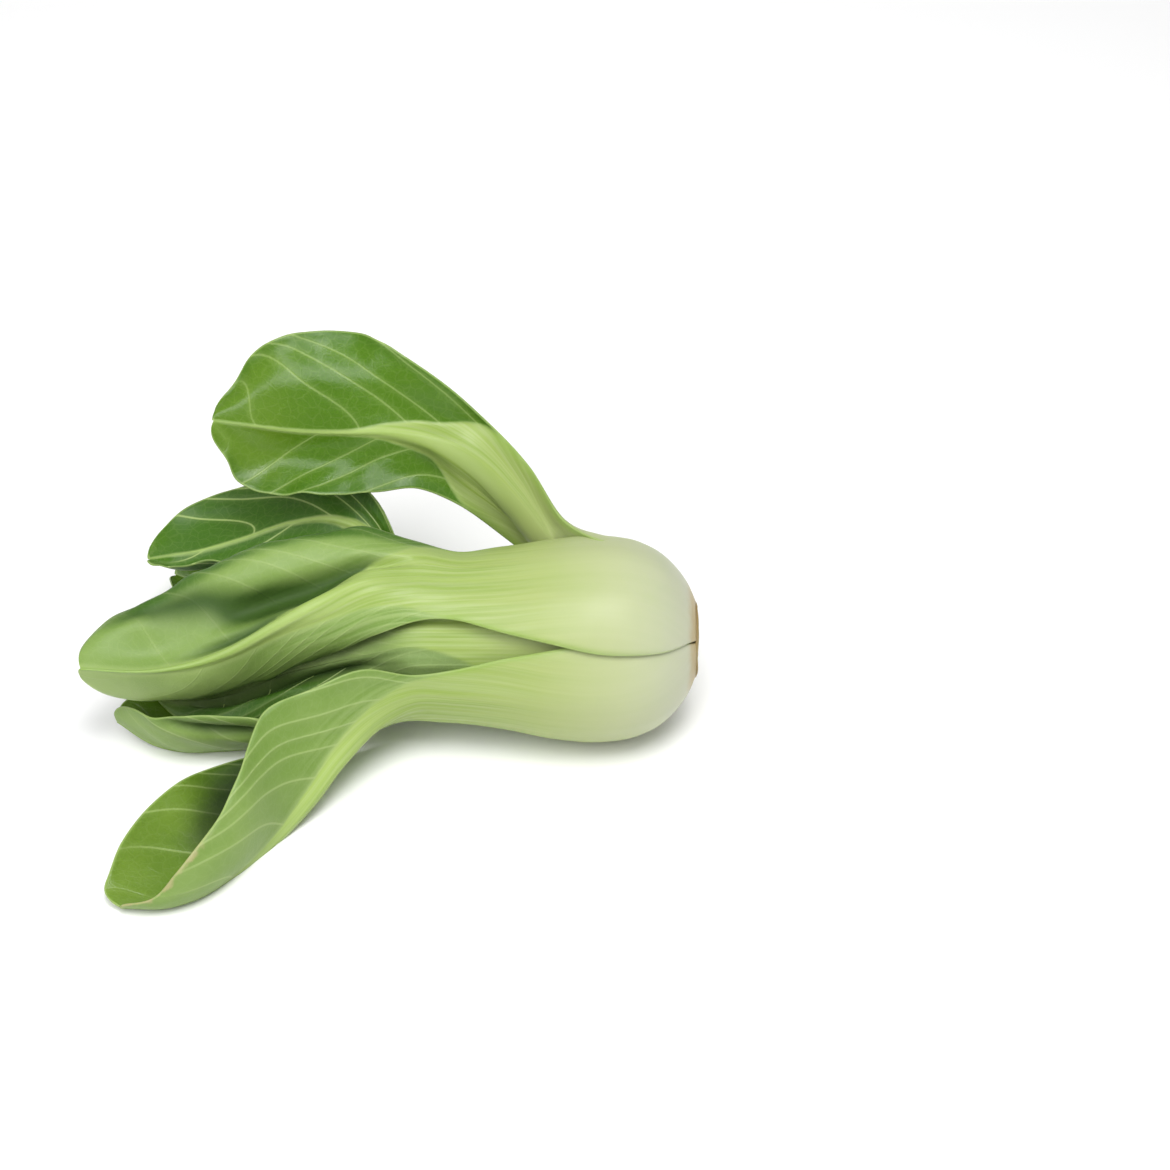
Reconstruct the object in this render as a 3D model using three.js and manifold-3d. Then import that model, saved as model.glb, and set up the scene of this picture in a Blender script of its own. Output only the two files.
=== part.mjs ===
import * as THREE from 'three';
import Module from 'manifold-3d';

// One whole head of baby bok choy, cut at the butt and lying on its side.
// Millimetres, +Z up. While modelling, the butt is at x = 0 and the head runs along -X;
// -Y is the front. At the end the group is moved so that the middle of its base is the origin.
//
// Every leaf is one surface over t (0 at the butt, 1 at the waist, 2 at the tip)
// and u (-1..1 across, 0 on the midrib). Theta turns it round the head: 0 up, 90 front,
// 180 down. Side a (u > 0) lies towards lower theta, side b (u < 0) towards higher theta.

const AXIS_Z = 34.9;
const FLOOR = 0.8;
const GAP = 0.32;
const BLADE_THICK = 0.9;
const EDGE_THICK = 1.1;
const TIP_START = 1.62;
const TIP_LEAST = 0.02;
const WING_START = 1.02;
const WING_LEAST = 1.2;
const RIB_END = 1.86;
const SLOT_LEAST = 0.08;
const BLEND_LENGTH = 0.3;
const STEP = 2e-3;
const GUARD = 0.45;
const BASE_FADE = [0.5, 1];
const TIP_SHRINK = 0.9;
const GROOVE_SPAN = [1.05, 1.35, 1.8, 2];
const RIPPLE_SPAN = [1.1, 1.45];
const RIPPLE_TURN = 0.9;
const LEAST_RADIUS = 5;
const SOFT_EDGE = 0.7;
const STEM_POINT = 0.5;
const CUT_LEAST = 1e-6;

// Outline of the head: t, distance from the butt, radius.
const BULB = [
  [0.00, 0.4, 13.0], [0.06, 3.2, 19.4], [0.16, 10.2, 28.0], [0.28, 20.0, 33.7],
  [0.42, 34.0, 36.0], [0.56, 49.0, 34.8], [0.72, 67.0, 31.0], [0.86, 82.0, 28.8],
  [1.00, 97.0, 28.0], [1.15, 112.0, 28.0],
];

// Half width of a stalk along its curved face.
const STALK = [
  [0.00, 11.0], [0.06, 17.0], [0.16, 27.0], [0.28, 33.0], [0.42, 34.5],
  [0.56, 30.0], [0.72, 23.0], [0.86, 17.5], [1.00, 15.0], [1.15, 14.0],
];

// Thickness of an outer stalk and its midrib along the middle line.
const FLESH = [
  [0.00, 3.0], [0.06, 4.2], [0.16, 5.6], [0.28, 6.8], [0.42, 7.0], [0.56, 6.8], [0.72, 6.4],
  [0.86, 6.1], [1.00, 6.0], [1.12, 5.3], [1.28, 4.1], [1.46, 2.9], [1.62, 2.1], [1.86, 1.3],
  [2.00, 1.0],
];

// Half width of the midrib where the blade has begun.
const RIB = [
  [0.96, 15.5], [1.04, 12.5], [1.12, 10.0], [1.28, 6.5], [1.46, 4.2], [1.62, 2.8],
  [1.78, 1.7], [1.86, 1.2], [2.00, 1.0],
];

// Share of the midrib that stands out on the outer side of the leaf.
const RIB_OUT = [[0.90, 0.0], [1.00, 0.1], [1.15, 0.45], [1.30, 0.65], [2.00, 0.65]];

// Rings of leaves from the outside in. scale: radius against the outline of the head over t;
// inset: how far the base stands up the stem; flesh and rib: thickness and midrib width against
// an outer leaf; cols: columns across a stalk; wing: columns across each wing of a blade.
const RINGS = [
  {
    scale: [[0, 1], [2, 1]],
    inset: 0, flesh: 1, rib: 1, cols: 8, wing: 5, stalk: 0xd6e4a2, blade: 0x4f9030,
  },
  {
    scale: [[0, 0.74], [0.16, 0.79], [0.42, 0.79], [0.7, 0.84], [1, 0.9], [2, 0.9]],
    inset: 5.5, flesh: 0.84, rib: 0.8, cols: 6, wing: 4, stalk: 0xd0e098, blade: 0x5c9c36,
  },
  {
    scale: [[0, 0.5], [0.16, 0.56], [0.42, 0.57], [0.7, 0.6], [1, 0.68], [2, 0.68]],
    inset: 9.5, flesh: 0.62, rib: 0.6, cols: 4, wing: 3, stalk: 0xdbe8ac, blade: 0x74ac44,
  },
  {
    scale: [[0, 0.3], [0.16, 0.36], [0.42, 0.36], [0.7, 0.38], [1, 0.42], [2, 0.42]],
    inset: 13, flesh: 0.4, rib: 0.4, cols: 4, wing: 2, stalk: 0xe6eebc, blade: 0x93bf58,
  },
];
const STEM_COLOUR = 0xe4e2bc;

const STALK_ROWS = [
  0, 0.04, 0.1, 0.18, 0.28, 0.36, 0.44, 0.52, 0.62, 0.74, 0.86, 0.985, 1.02, 1.1, 1.19, 1.3,
  1.43, 1.56, 1.7, 1.8, 1.86,
];
const BLADE_ROWS = [
  1.02, 1.1, 1.19, 1.3, 1.43, 1.56, 1.7, 1.8, 1.88, 1.93, 1.97, 1.99, 2,
];
const SMALL_STALK_ROWS = [
  0, 0.08, 0.2, 0.36, 0.52, 0.7, 0.86, 0.985, 1.02, 1.15, 1.3, 1.5, 1.7, 1.86,
];
const SMALL_BLADE_ROWS = [1.02, 1.15, 1.3, 1.5, 1.7, 1.84, 1.93, 1.98, 2];

// The leaves. rails rows: t, midrib point, margin on side a, margin on side b, outward bulge of
// each half. tuck: how far each stalk edge draws in under its neighbour. dip: groove beside the
// midrib on each half. wave: height, cycles and phase of the ripple along the margin.
const LEAVES = [
  {
    name: 'leaf_01', ring: 0, theta: 10, waist: 1.1, stalk: [1.0, 0.9], tuck: [0.02, 0.02],
    dip: [3.8, 0], wave: [1.0, 2.2, 0], free: 0.9,
    rails: [
      [1.0, [-98, -6.5, 66.5], [-98, 13, 68.5], [-95, -19, 58], 2, 1.5],
      [1.12, [-112, -11, 68], [-113, 15.5, 72.5], [-106, -21, 54.5], 2, 1.5],
      [1.28, [-127, -16, 63.5], [-128, 16, 69], [-123, -20, 44], 4, 2],
      [1.45, [-142, -20.5, 57], [-148, 14, 66.5], [-144, -17, 31], 6, 3],
      [1.62, [-158, -24.5, 49], [-168, 9, 60.5], [-163, -15, 23.5], 6, 4],
      [1.78, [-174, -27, 44.5], [-187, 0, 54.5], [-184, -18, 21.5], 4, 4],
      [1.9, [-189, -29, 44], [-200, -9, 51.5], [-198, -22, 26], 2, 2],
      [2.0, [-207, -30, 46], null, null, 1, 1],
    ],
  },
  {
    name: 'leaf_02', ring: 0, theta: 105, waist: 1.03, stalk: [0.95, 1.0], tuck: [0.12, 0.03],
    dip: [0, 0], wave: [0.6, 2.5, 1],
    rails: [
      [1.12, [-109, -33, 24.5], [-112, -30, 46], [-108, -20, 12], 1.5, 1],
      [1.28, [-121, -44, 17.5], [-130, -38, 43.5], [-124, -25, 8.5], 2, 1],
      [1.42, [-131, -55, 8.5], [-144, -47, 42], [-142, -28, 7], 3, 0],
      [1.55, [-142, -66, 1.2], [-150, -60, 36], [-158, -35, 9.5], 5, 2],
      [1.7, [-154, -81, 0], [-156, -82, 28], [-176, -52, 14], 6, 3],
      [1.85, [-167, -93, 0], [-170, -100, 18], [-191, -77, 10.5], 5, 3],
      [1.93, [-177, -97, 0.8], [-178, -102, 10], [-194, -89, 7], 3, 2],
      [2.0, [-189, -99, 3], null, null, 2, 1],
    ],
  },
  {
    name: 'leaf_03', ring: 0, theta: 200, waist: 1, stalk: [1.0, 1.0], tuck: [0.08, 0.03],
    dip: [0, 0], wave: [1.5, 2.1, 2], free: 0.86,
    rails: [
      [1.0, [-97, 13.5, 6.5], [-98, 0, 6.5], [-96, 25.5, 14], 1, 1.5],
      [1.15, [-111, 24, 4.5], [-113, 10, 4], [-110, 38, 13.5], 1, 1],
      [1.35, [-130, 40, 2], [-135, 16, 5], [-126, 60, 18], 1, 3],
      [1.55, [-148, 55, 0], [-157, 24, 12], [-141, 77, 24], 3, 5],
      [1.75, [-166, 66, 0], [-176, 38, 15], [-159, 84, 23], 4, 5],
      [1.9, [-179, 71, 2], [-189, 54, 12], [-178, 81, 15], 3, 3],
      [2.0, [-191, 74, 5], null, null, 1, 1],
    ],
  },
  {
    name: 'leaf_04', ring: 0, theta: 300, waist: 1, stalk: [0.75, 0.75], tuck: [0.03, 0.12],
    dip: [0, 0], wave: [1.2, 1.6, 1], free: 0.42,
    rails: [
      [0.56, [-48, 31.5, 53], [-49, 33, 36.5], [-46, 26, 67], 3, 3],
      [0.72, [-62, 37, 67], [-66, 35, 51.5], [-57, 35, 82], 3, 3],
      [0.88, [-76, 40.5, 80], [-82, 35, 66], [-70, 42, 94.5], 2.5, 2.5],
      [1.02, [-89, 42, 88], [-95, 35, 73], [-84, 47, 106], 2, 2],
      [1.2, [-105, 43, 91.5], [-109, 33, 73.5], [-102, 52, 117], 2, 2],
      [1.4, [-121, 44.5, 90.5], [-126, 32, 73], [-120, 58, 122], 4, 0],
      [1.6, [-137, 46, 90], [-145, 34, 72], [-139, 59, 120], 5, 0],
      [1.78, [-150, 47, 91], [-159, 37, 75.5], [-155, 57, 111.5], 4, 0],
      [1.9, [-158, 47.5, 92], [-164, 42, 83], [-162.5, 53, 102], 2, 0],
      [2.0, [-167, 48, 93], null, null, 0, 0],
    ],
  },
  {
    name: 'leaf_05', ring: 1, theta: 57, waist: 1, stalk: [0.66, 0.75], tuck: [0.06, 0.03],
    dip: [0, 0], wave: [1.6, 2.6, 0],
    rails: [
      [1.15, [-111, -17, 42.5], [-112, -6, 55], [-111, -19, 27], 1, 1],
      [1.3, [-126, -14, 36], [-129, -4, 51], [-127, -18, 21], 2, 1],
      [1.45, [-141, -11.5, 29], [-146, -1, 44], [-144, -19, 16], 2, 2],
      [1.62, [-158, -9, 18.5], [-163, 0, 34], [-161, -19, 11], 3, 2],
      [1.78, [-171, -8, 14], [-176, -1, 27], [-174, -16, 11], 3, 1],
      [1.9, [-179, -8, 13.5], [-183, -2, 22], [-181, -13, 12], 2, 1],
      [2.0, [-187, -7, 15], null, null, 1, 1],
    ],
  },
  {
    name: 'leaf_06', ring: 1, theta: 155, waist: 1, stalk: [0.75, 0.75], tuck: [0.06, 0.03],
    dip: [0, 0], wave: [1.0, 2.3, 1],
    rails: [
      [1.12, [-112, -9, 6], [-112, -21, 20], [-112, 6, 9], 1, 1],
      [1.28, [-128, -12, 3], [-128, -25, 21.5], [-128, 8, 10], 2, 1],
      [1.45, [-147, -16, 1.2], [-147, -33, 25.5], [-147, 8, 12], 4, 2],
      [1.62, [-165, -19, 0.4], [-170, -31, 26.5], [-166, 6, 14], 5, 3],
      [1.78, [-178, -20, 0.6], [-186, -26, 22], [-181, 2, 15], 4, 2],
      [1.9, [-190, -18, 3], [-196, -19, 19], [-192, -4, 14], 2, 1],
      [2.0, [-201, -13, 8], null, null, 1, 1],
    ],
  },
  {
    name: 'leaf_07', ring: 1, theta: 255, waist: 1, stalk: [0.72, 0.72], tuck: [0.06, 0.03],
    dip: [0, 0], wave: [1.0, 2.5, 3],
    rails: [
      [1.15, [-111, 34, 50], [-112, 24, 38], [-111, 40, 63], 1, 1],
      [1.3, [-126, 40, 56], [-130, 25, 46], [-126, 54, 69], 2, 2],
      [1.45, [-142, 43, 52.5], [-147, 25, 46], [-142, 62, 63], 3, 2],
      [1.62, [-160, 42, 46], [-169, 28, 45], [-163, 62, 54], 4, 2],
      [1.78, [-176, 40, 42], [-184, 30, 43], [-181, 58, 47.5], 4, 2],
      [1.9, [-185, 39, 41], [-190, 33, 41.5], [-190, 50, 44], 2, 1],
      [2.0, [-193, 38, 40], null, null, 1, 1],
    ],
  },
  {
    name: 'leaf_08', ring: 1, theta: 350, waist: 0.84, stalk: [0.7, 0.45], tuck: [0.03, 0.06],
    dip: [0, 0], wave: [1.2, 2.5, 3],
    rails: [
      [1.2, [-113, 4, 57], [-113, 18, 60], [-113, -3, 57], 1, 1],
      [1.4, [-129, 5, 55], [-129, 23, 58], [-129, -6, 54], 1.5, 1.5],
      [1.65, [-148, 7, 50], [-149, 22, 53], [-149, -6, 49], 1.5, 1.5],
      [1.85, [-163, 8, 48], [-164, 18, 50], [-164, -2, 48], 1, 1],
      [2.0, [-174, 8, 48], null, null, 1, 1],
    ],
  },
  {
    name: 'leaf_09', ring: 2, theta: 110, waist: 1, stalk: [0.62, 0.62], tuck: [0.05, 0.03],
    dip: [0, 0], wave: [1.2, 2.5, 3],
    rails: [
      [1.2, [-112, -12, 26], [-112, -10, 37], [-112, -4, 16], 1, 1],
      [1.4, [-127, -7, 22], [-127, -5, 38], [-127, 4, 14], 3, 3],
      [1.65, [-145, -4, 20], [-145, -1, 34], [-146, 6, 15], 3, 3],
      [2.0, [-164, 0, 19], null, null, 1, 1],
    ],
  },
  {
    name: 'leaf_10', ring: 2, theta: 225, waist: 1, stalk: [0.62, 0.62], tuck: [0.05, 0.03],
    dip: [0, 0], wave: [1.2, 2.5, 3],
    rails: [
      [1.2, [-112, 14, 21], [-112, 5, 17], [-112, 22, 30], 1, 1],
      [1.4, [-128, 18, 20], [-128, 6, 17], [-128, 27, 34], 3, 3],
      [1.65, [-146, 22, 21], [-147, 11, 18], [-146, 30, 35], 3, 3],
      [2.0, [-166, 28, 23], null, null, 1, 1],
    ],
  },
  {
    name: 'leaf_11', ring: 2, theta: 325, waist: 1, stalk: [0.62, 0.62], tuck: [0.05, 0.03],
    dip: [0, 0], wave: [1.2, 2.5, 3],
    rails: [
      [1.2, [-112, 13, 48], [-112, 20, 41], [-112, 5, 46], 1, 1],
      [1.4, [-126, 14, 46], [-126, 19, 36], [-126, 4, 42], 2, 2],
      [1.65, [-142, 16, 43], [-142, 19, 34], [-142, 8, 40], 2, 2],
      [2.0, [-158, 18, 41], null, null, 1, 1],
    ],
  },
  {
    name: 'leaf_12', ring: 3, theta: 60, waist: 1, stalk: [0.38, 0.38], tuck: [0.05, 0.03],
    dip: [0, 0], wave: [0.6, 2.5, 3],
    rails: [
      [1.3, [-110, -5, 41], [-110, 2, 45], [-110, -6, 34], 1, 1],
      [1.6, [-122, -2, 41], [-122, 5, 43], [-122, -2, 33], 2, 2],
      [2.0, [-137, 1, 39], null, null, 1, 1],
    ],
  },
  {
    name: 'leaf_13', ring: 3, theta: 180, waist: 1, stalk: [0.38, 0.38], tuck: [0.05, 0.03],
    dip: [0, 0], wave: [0.6, 2.5, 3],
    rails: [
      [1.3, [-110, 3, 26], [-110, -4, 28], [-110, 9, 29], 1, 1],
      [1.6, [-124, 4, 26], [-124, -2, 30], [-124, 11, 31], 2, 2],
      [2.0, [-140, 6, 27], null, null, 1, 1],
    ],
  },
  {
    name: 'leaf_14', ring: 3, theta: 300, waist: 1, stalk: [0.38, 0.38], tuck: [0.05, 0.03],
    dip: [0, 0], wave: [0.6, 2.5, 3],
    rails: [
      [1.3, [-110, 9, 40], [-110, 10, 33], [-110, 4, 44], 1, 1],
      [1.6, [-122, 11, 38], [-122, 11, 31], [-122, 7, 43], 2, 2],
      [2.0, [-136, 12, 37], null, null, 1, 1],
    ],
  },
];

// Profile of the short stem inside the leaf bases: x, radius.
const STEM_PROFILE = [
  [0, 9.2], [-1.5, 9.4], [-5.3, 9.0], [-5.5, 6.0], [-9.3, 5.6], [-9.5, 3.2], [-12.6, 3.0], [-12.8, 1.6],
];
const STEM_SIDES = 28;

const add = (a, b, k = 1) => [a[0] + b[0] * k, a[1] + b[1] * k, a[2] + b[2] * k];
const sub = (a, b) => [a[0] - b[0], a[1] - b[1], a[2] - b[2]];
const dot = (a, b) => a[0] * b[0] + a[1] * b[1] + a[2] * b[2];
const length = (a) => Math.hypot(a[0], a[1], a[2]);
const unit = (a) => {
  const l = length(a) || 1;
  return [a[0] / l, a[1] / l, a[2] / l];
};
const cross = (a, b) => [
  a[1] * b[2] - a[2] * b[1],
  a[2] * b[0] - a[0] * b[2],
  a[0] * b[1] - a[1] * b[0],
];
const radians = (degrees) => degrees * Math.PI / 180;

function smooth(from, to, x) {
  const s = Math.min(1, Math.max(0, (x - from) / (to - from)));
  return s * s * (3 - 2 * s);
}

// Smooth curve through keys [t, v...]; t is held inside the first and last key.
function spline(keys) {
  const last = keys.length - 1;
  const values = keys.map((key) => key.slice(1));
  const chords = [];
  for (let k = 0; k < last; k += 1) {
    chords.push(values[k].map((v, c) => (values[k + 1][c] - v) / (keys[k + 1][0] - keys[k][0])));
  }
  const slopes = keys.map((key, k) => {
    if (k === 0) return chords[0];
    if (k === last) return chords[last - 1];
    const before = key[0] - keys[k - 1][0];
    const after = keys[k + 1][0] - key[0];
    return chords[k].map((v, c) => (chords[k - 1][c] * after + v * before) / (before + after));
  });
  return (t) => {
    const x = Math.min(keys[last][0], Math.max(keys[0][0], t));
    let k = 0;
    while (k < last - 1 && x > keys[k + 1][0]) k += 1;
    const h = keys[k + 1][0] - keys[k][0];
    const s = (x - keys[k][0]) / h;
    const h00 = (1 + 2 * s) * (1 - s) ** 2;
    const h10 = s * (1 - s) ** 2 * h;
    const h01 = s * s * (3 - 2 * s);
    const h11 = s * s * (s - 1) * h;
    return values[k].map((v, c) => h00 * v + h10 * slopes[k][c]
      + h01 * values[k + 1][c] + h11 * slopes[k + 1][c]);
  };
}

const bulb = spline(BULB);
const stalkWidth = spline(STALK);
const fleshAt = spline(FLESH);
const ribWidth = spline(RIB);
const ribShare = spline(RIB_OUT);
const ringScale = RINGS.map((ring) => spline(ring.scale));

// The blade narrows to a rounded tip.
function tipRound(t) {
  if (t <= TIP_START) return 1;
  return Math.max(TIP_LEAST, Math.sqrt(Math.max(0, 1 - ((t - TIP_START) / (2 - TIP_START)) ** 2)));
}

// Radius of the leaf's face round the head and its distance along the head.
function stalkRow(leaf, t) {
  const ring = RINGS[leaf.ring];
  const [along, radius] = bulb(t);
  const flare = 1 + (leaf.waist - 1) * smooth(...BASE_FADE, t);
  return {
    x: -along - ring.inset * (1 - smooth(0, BASE_FADE[0], t)),
    radius: radius * ringScale[leaf.ring](t)[0] * flare,
  };
}

// Keys of the free surface: t, midrib, half chord a, half chord b, bulge a, bulge b.
function freeKeys(leaf) {
  const theta = radians(leaf.theta);
  const out = [0, -Math.sin(theta), Math.cos(theta)];
  const across = [0, Math.cos(theta), Math.sin(theta)];
  const keys = [];
  for (const [t] of BULB) {
    if (t < 0.1 || t > (leaf.free ?? 1)) continue;
    const row = stalkRow(leaf, t);
    const halfWidth = stalkWidth(t)[0];
    const mid = add([row.x, 0, AXIS_Z], out, row.radius);
    const sides = [1, -1].map((sign, k) => {
      const angle = halfWidth * leaf.stalk[k] / row.radius;
      const chord = add(add([0, 0, 0], across, sign * row.radius * Math.sin(angle)), out,
        -row.radius * (1 - Math.cos(angle)));
      return { chord, bulge: row.radius * (1 - Math.cos(angle / 2)) };
    });
    keys.push([t, ...mid, ...sides[0].chord, ...sides[1].chord, sides[0].bulge, sides[1].bulge]);
  }
  for (const [t, mid, marginA, marginB, bulgeA, bulgeB] of leaf.rails) {
    const before = keys[keys.length - 1];
    const round = tipRound(t);
    const chords = [marginA, marginB].map((margin, k) => {
      if (margin) return sub(margin, mid).map((v) => v / round);
      return before.slice(4 + 3 * k, 7 + 3 * k).map((v) => v * TIP_SHRINK);
    });
    keys.push([t, ...mid, ...chords[0], ...chords[1], bulgeA, bulgeB]);
  }
  return keys;
}

// Point of the leaf's outer face.
function leafPoint(leaf, t, u) {
  const sign = u < 0 ? -1 : 1;
  const k = u < 0 ? 1 : 0;
  const a = Math.abs(u);
  const round = tipRound(t);
  const v = leaf.rail(t);
  const mid = v.slice(0, 3);
  const chord = v.slice(3 + 3 * k, 6 + 3 * k).map((c) => c * round);
  const ahead = leaf.rail(t + STEP).slice(0, 3);
  const behind = leaf.rail(t - STEP).slice(0, 3);
  const along = unit(sub(ahead, behind));
  const outward = unit(cross(chord, along)).map((c) => c * sign);
  const [grooveFrom, grooveFull, grooveFade, grooveEnd] = GROOVE_SPAN;
  const groove = leaf.dip[k] * smooth(grooveFrom, grooveFull, t) * (1 - smooth(grooveFade, grooveEnd, t));
  const [height, cycles, phase] = leaf.wave;
  const ripple = height * smooth(...RIPPLE_SPAN, t) * a ** 3 * Math.sqrt(round)
    * Math.sin(2 * Math.PI * cycles * t + phase + sign * RIPPLE_TURN);
  const lift = v[9 + k] * round * 4 * a * (1 - a) - groove * Math.sin(2 * Math.PI * a) + ripple;
  const free = add(add(mid, chord, a), outward, lift);

  const row = stalkRow(leaf, t);
  const psi = stalkWidth(t)[0] * leaf.stalk[k] * u / Math.max(LEAST_RADIUS, row.radius);
  const radius = row.radius * (1 - leaf.tuck[k] * psi * psi);
  const angle = radians(leaf.theta) - psi;
  const wrapped = [row.x, -Math.sin(angle) * radius, AXIS_Z + Math.cos(angle) * radius];
  const end = leaf.free ?? 1;
  const share = smooth(end - BLEND_LENGTH, end, t);
  const point = wrapped.map((c, i) => c * (1 - share) + free[i] * share);
  point[2] = Math.max(point[2], FLOOR);
  return point;
}

function leafNormal(leaf, t, u) {
  const t0 = Math.max(0, t - STEP);
  const t1 = Math.min(2, t + STEP);
  const du = sub(leafPoint(leaf, t, Math.min(1, u + STEP)), leafPoint(leaf, t, Math.max(-1, u - STEP)));
  const dt = sub(leafPoint(leaf, t1, u), leafPoint(leaf, t0, u));
  return unit(cross(du, dt));
}

// Share of the half width that the midrib takes on side k.
function ribEdge(leaf, t, k) {
  if (t < WING_START) return 1;
  const v = leaf.rail(t);
  const width = length(v.slice(3 + 3 * k, 6 + 3 * k)) * tipRound(t);
  const rib = ribWidth(t)[0] * leaf.ribScale;
  return Math.min(rib / width, 1 - (WING_LEAST + GAP) / width);
}

// Depth of the flesh outside and inside the leaf face.
function stalkDepth(leaf, t, u) {
  const flesh = Math.max(fleshAt(t)[0] * RINGS[leaf.ring].flesh, EDGE_THICK);
  const edge = t < WING_START ? EDGE_THICK : BLADE_THICK;
  const shape = t < WING_START ? (1 - u * u) ** SOFT_EDGE : 1 - u * u;
  const extra = (flesh - edge) * Math.max(0, shape);
  const share = ribShare(t)[0];
  return { out: extra * share, inn: edge + extra * (1 - share) };
}

// Closed solid over a grid of cells: two faces with the same diagonals, and walls round the rim.
function shell(rows, cols, filled, outer, inner) {
  const index = new Map();
  const points = [];
  const triangles = [];
  const vertex = (i, j, side) => {
    const key = `${i},${j},${side}`;
    if (!index.has(key)) {
      index.set(key, points.length);
      points.push(side ? inner(i, j) : outer(i, j));
    }
    return index.get(key);
  };
  const open = (i, j) => i < 0 || j < 0 || i >= rows || j >= cols || !filled(i, j);
  const wall = (i0, j0, i1, j1) => {
    const a = vertex(i0, j0, 0);
    const b = vertex(i1, j1, 0);
    const c = vertex(i1, j1, 1);
    const d = vertex(i0, j0, 1);
    triangles.push([a, b, c], [a, c, d]);
  };
  for (let i = 0; i < rows; i += 1) {
    for (let j = 0; j < cols; j += 1) {
      if (open(i, j)) continue;
      const [a, b, c, d] = [[i, j], [i + 1, j], [i + 1, j + 1], [i, j + 1]].map(([p, q]) => vertex(p, q, 0));
      const [e, f, g, h] = [[i, j], [i + 1, j], [i + 1, j + 1], [i, j + 1]].map(([p, q]) => vertex(p, q, 1));
      triangles.push([a, c, b], [a, d, c], [e, f, g], [e, g, h]);
      if (open(i, j - 1)) wall(i, j, i + 1, j);
      if (open(i + 1, j)) wall(i + 1, j, i + 1, j + 1);
      if (open(i, j + 1)) wall(i + 1, j + 1, i, j + 1);
      if (open(i - 1, j)) wall(i, j + 1, i, j);
    }
  }
  return { points, triangles };
}

// Stalk with the midrib it grows into.
function stalkSolid(leaf) {
  const rows = leaf.ring < 2 ? STALK_ROWS : SMALL_STALK_ROWS;
  const { cols } = RINGS[leaf.ring];
  const at = (i, j) => {
    const across = -1 + 2 * j / cols;
    const k = across < 0 ? 1 : 0;
    return { t: rows[i], across, u: across * ribEdge(leaf, rows[i], k) };
  };
  const point = (i, j, inside) => {
    const { t, across, u } = at(i, j);
    const depth = stalkDepth(leaf, t, across);
    const p = add(leafPoint(leaf, t, u), leafNormal(leaf, t, u), inside ? -depth.inn : depth.out);
    p[2] = Math.max(p[2], FLOOR);
    return p;
  };
  return shell(rows.length - 1, cols, () => true, (i, j) => point(i, j, false), (i, j) => point(i, j, true));
}

// Blade: a wing on either side of the midrib, joined beyond its end.
function bladeSolid(leaf) {
  const rows = leaf.ring < 2 ? BLADE_ROWS : SMALL_BLADE_ROWS;
  const half = RINGS[leaf.ring].wing;
  const cols = 2 * half + 1;
  const at = (i, j) => {
    const t = rows[i];
    const k = j <= half ? 1 : 0;
    const step = j <= half ? (half - j) / half : (j - half - 1) / half;
    const v = leaf.rail(t);
    const width = length(v.slice(3 + 3 * k, 6 + 3 * k)) * tipRound(t);
    const edge = Math.max(ribEdge(leaf, t, k) + GAP / width, SLOT_LEAST);
    const u = edge + (1 - edge) * step;
    return { t, u: k ? -u : u };
  };
  const point = (i, j, inside) => {
    const { t, u } = at(i, j);
    const p = leafPoint(leaf, t, u);
    return inside ? add(p, leafNormal(leaf, t, u), -BLADE_THICK) : p;
  };
  const filled = (i, j) => j !== half || rows[i] > RIB_END;
  return shell(rows.length - 1, cols, filled, (i, j) => point(i, j, false), (i, j) => point(i, j, true));
}

function stemSolid() {
  const points = [];
  const triangles = [];
  const turn = 2 * Math.PI / STEM_SIDES;
  for (const [x, r] of STEM_PROFILE) {
    for (let s = 0; s < STEM_SIDES; s += 1) {
      points.push([x, -Math.sin(s * turn) * r, AXIS_Z + Math.cos(s * turn) * r]);
    }
  }
  const front = points.push([STEM_PROFILE[0][0], 0, AXIS_Z]) - 1;
  const back = points.push([STEM_PROFILE[STEM_PROFILE.length - 1][0] - STEM_POINT, 0, AXIS_Z]) - 1;
  for (let s = 0; s < STEM_SIDES; s += 1) {
    const n = (s + 1) % STEM_SIDES;
    triangles.push([front, s, n]);
    for (let r = 0; r < STEM_PROFILE.length - 1; r += 1) {
      const a = r * STEM_SIDES;
      const b = a + STEM_SIDES;
      triangles.push([a + s, b + s, b + n], [a + s, b + n, a + n]);
    }
    const end = (STEM_PROFILE.length - 1) * STEM_SIDES;
    triangles.push([back, end + n, end + s]);
  }
  return { points, triangles };
}

// The same solid with every corner moved outwards, used to keep its neighbours clear of it.
function grown(solid, distance) {
  const normals = solid.points.map(() => [0, 0, 0]);
  for (const tri of solid.triangles) {
    const [a, b, c] = tri.map((i) => solid.points[i]);
    const face = unit(cross(sub(b, a), sub(c, a)));
    tri.forEach((i, k) => {
      const p = solid.points[i];
      const q = unit(sub(solid.points[tri[(k + 1) % 3]], p));
      const r = unit(sub(solid.points[tri[(k + 2) % 3]], p));
      const angle = Math.acos(Math.min(1, Math.max(-1, dot(q, r))));
      normals[i] = add(normals[i], face, angle);
    });
  }
  return {
    points: solid.points.map((p, i) => add(p, unit(normals[i]), distance)),
    triangles: solid.triangles,
  };
}

const wasm = await Module();
wasm.setup();

function toManifold(solid) {
  return new wasm.Manifold(new wasm.Mesh({
    numProp: 3,
    vertProperties: Float32Array.from(solid.points.flat()),
    triVerts: Uint32Array.from(solid.triangles.flat()),
  }));
}

function boxOf(points) {
  const low = [Infinity, Infinity, Infinity];
  const high = [-Infinity, -Infinity, -Infinity];
  for (const p of points) {
    for (let c = 0; c < 3; c += 1) {
      low[c] = Math.min(low[c], p[c]);
      high[c] = Math.max(high[c], p[c]);
    }
  }
  return { low, high };
}

const apart = (a, b) => [0, 1, 2].some((c) => a.low[c] > b.high[c] || b.low[c] > a.high[c]);

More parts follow.
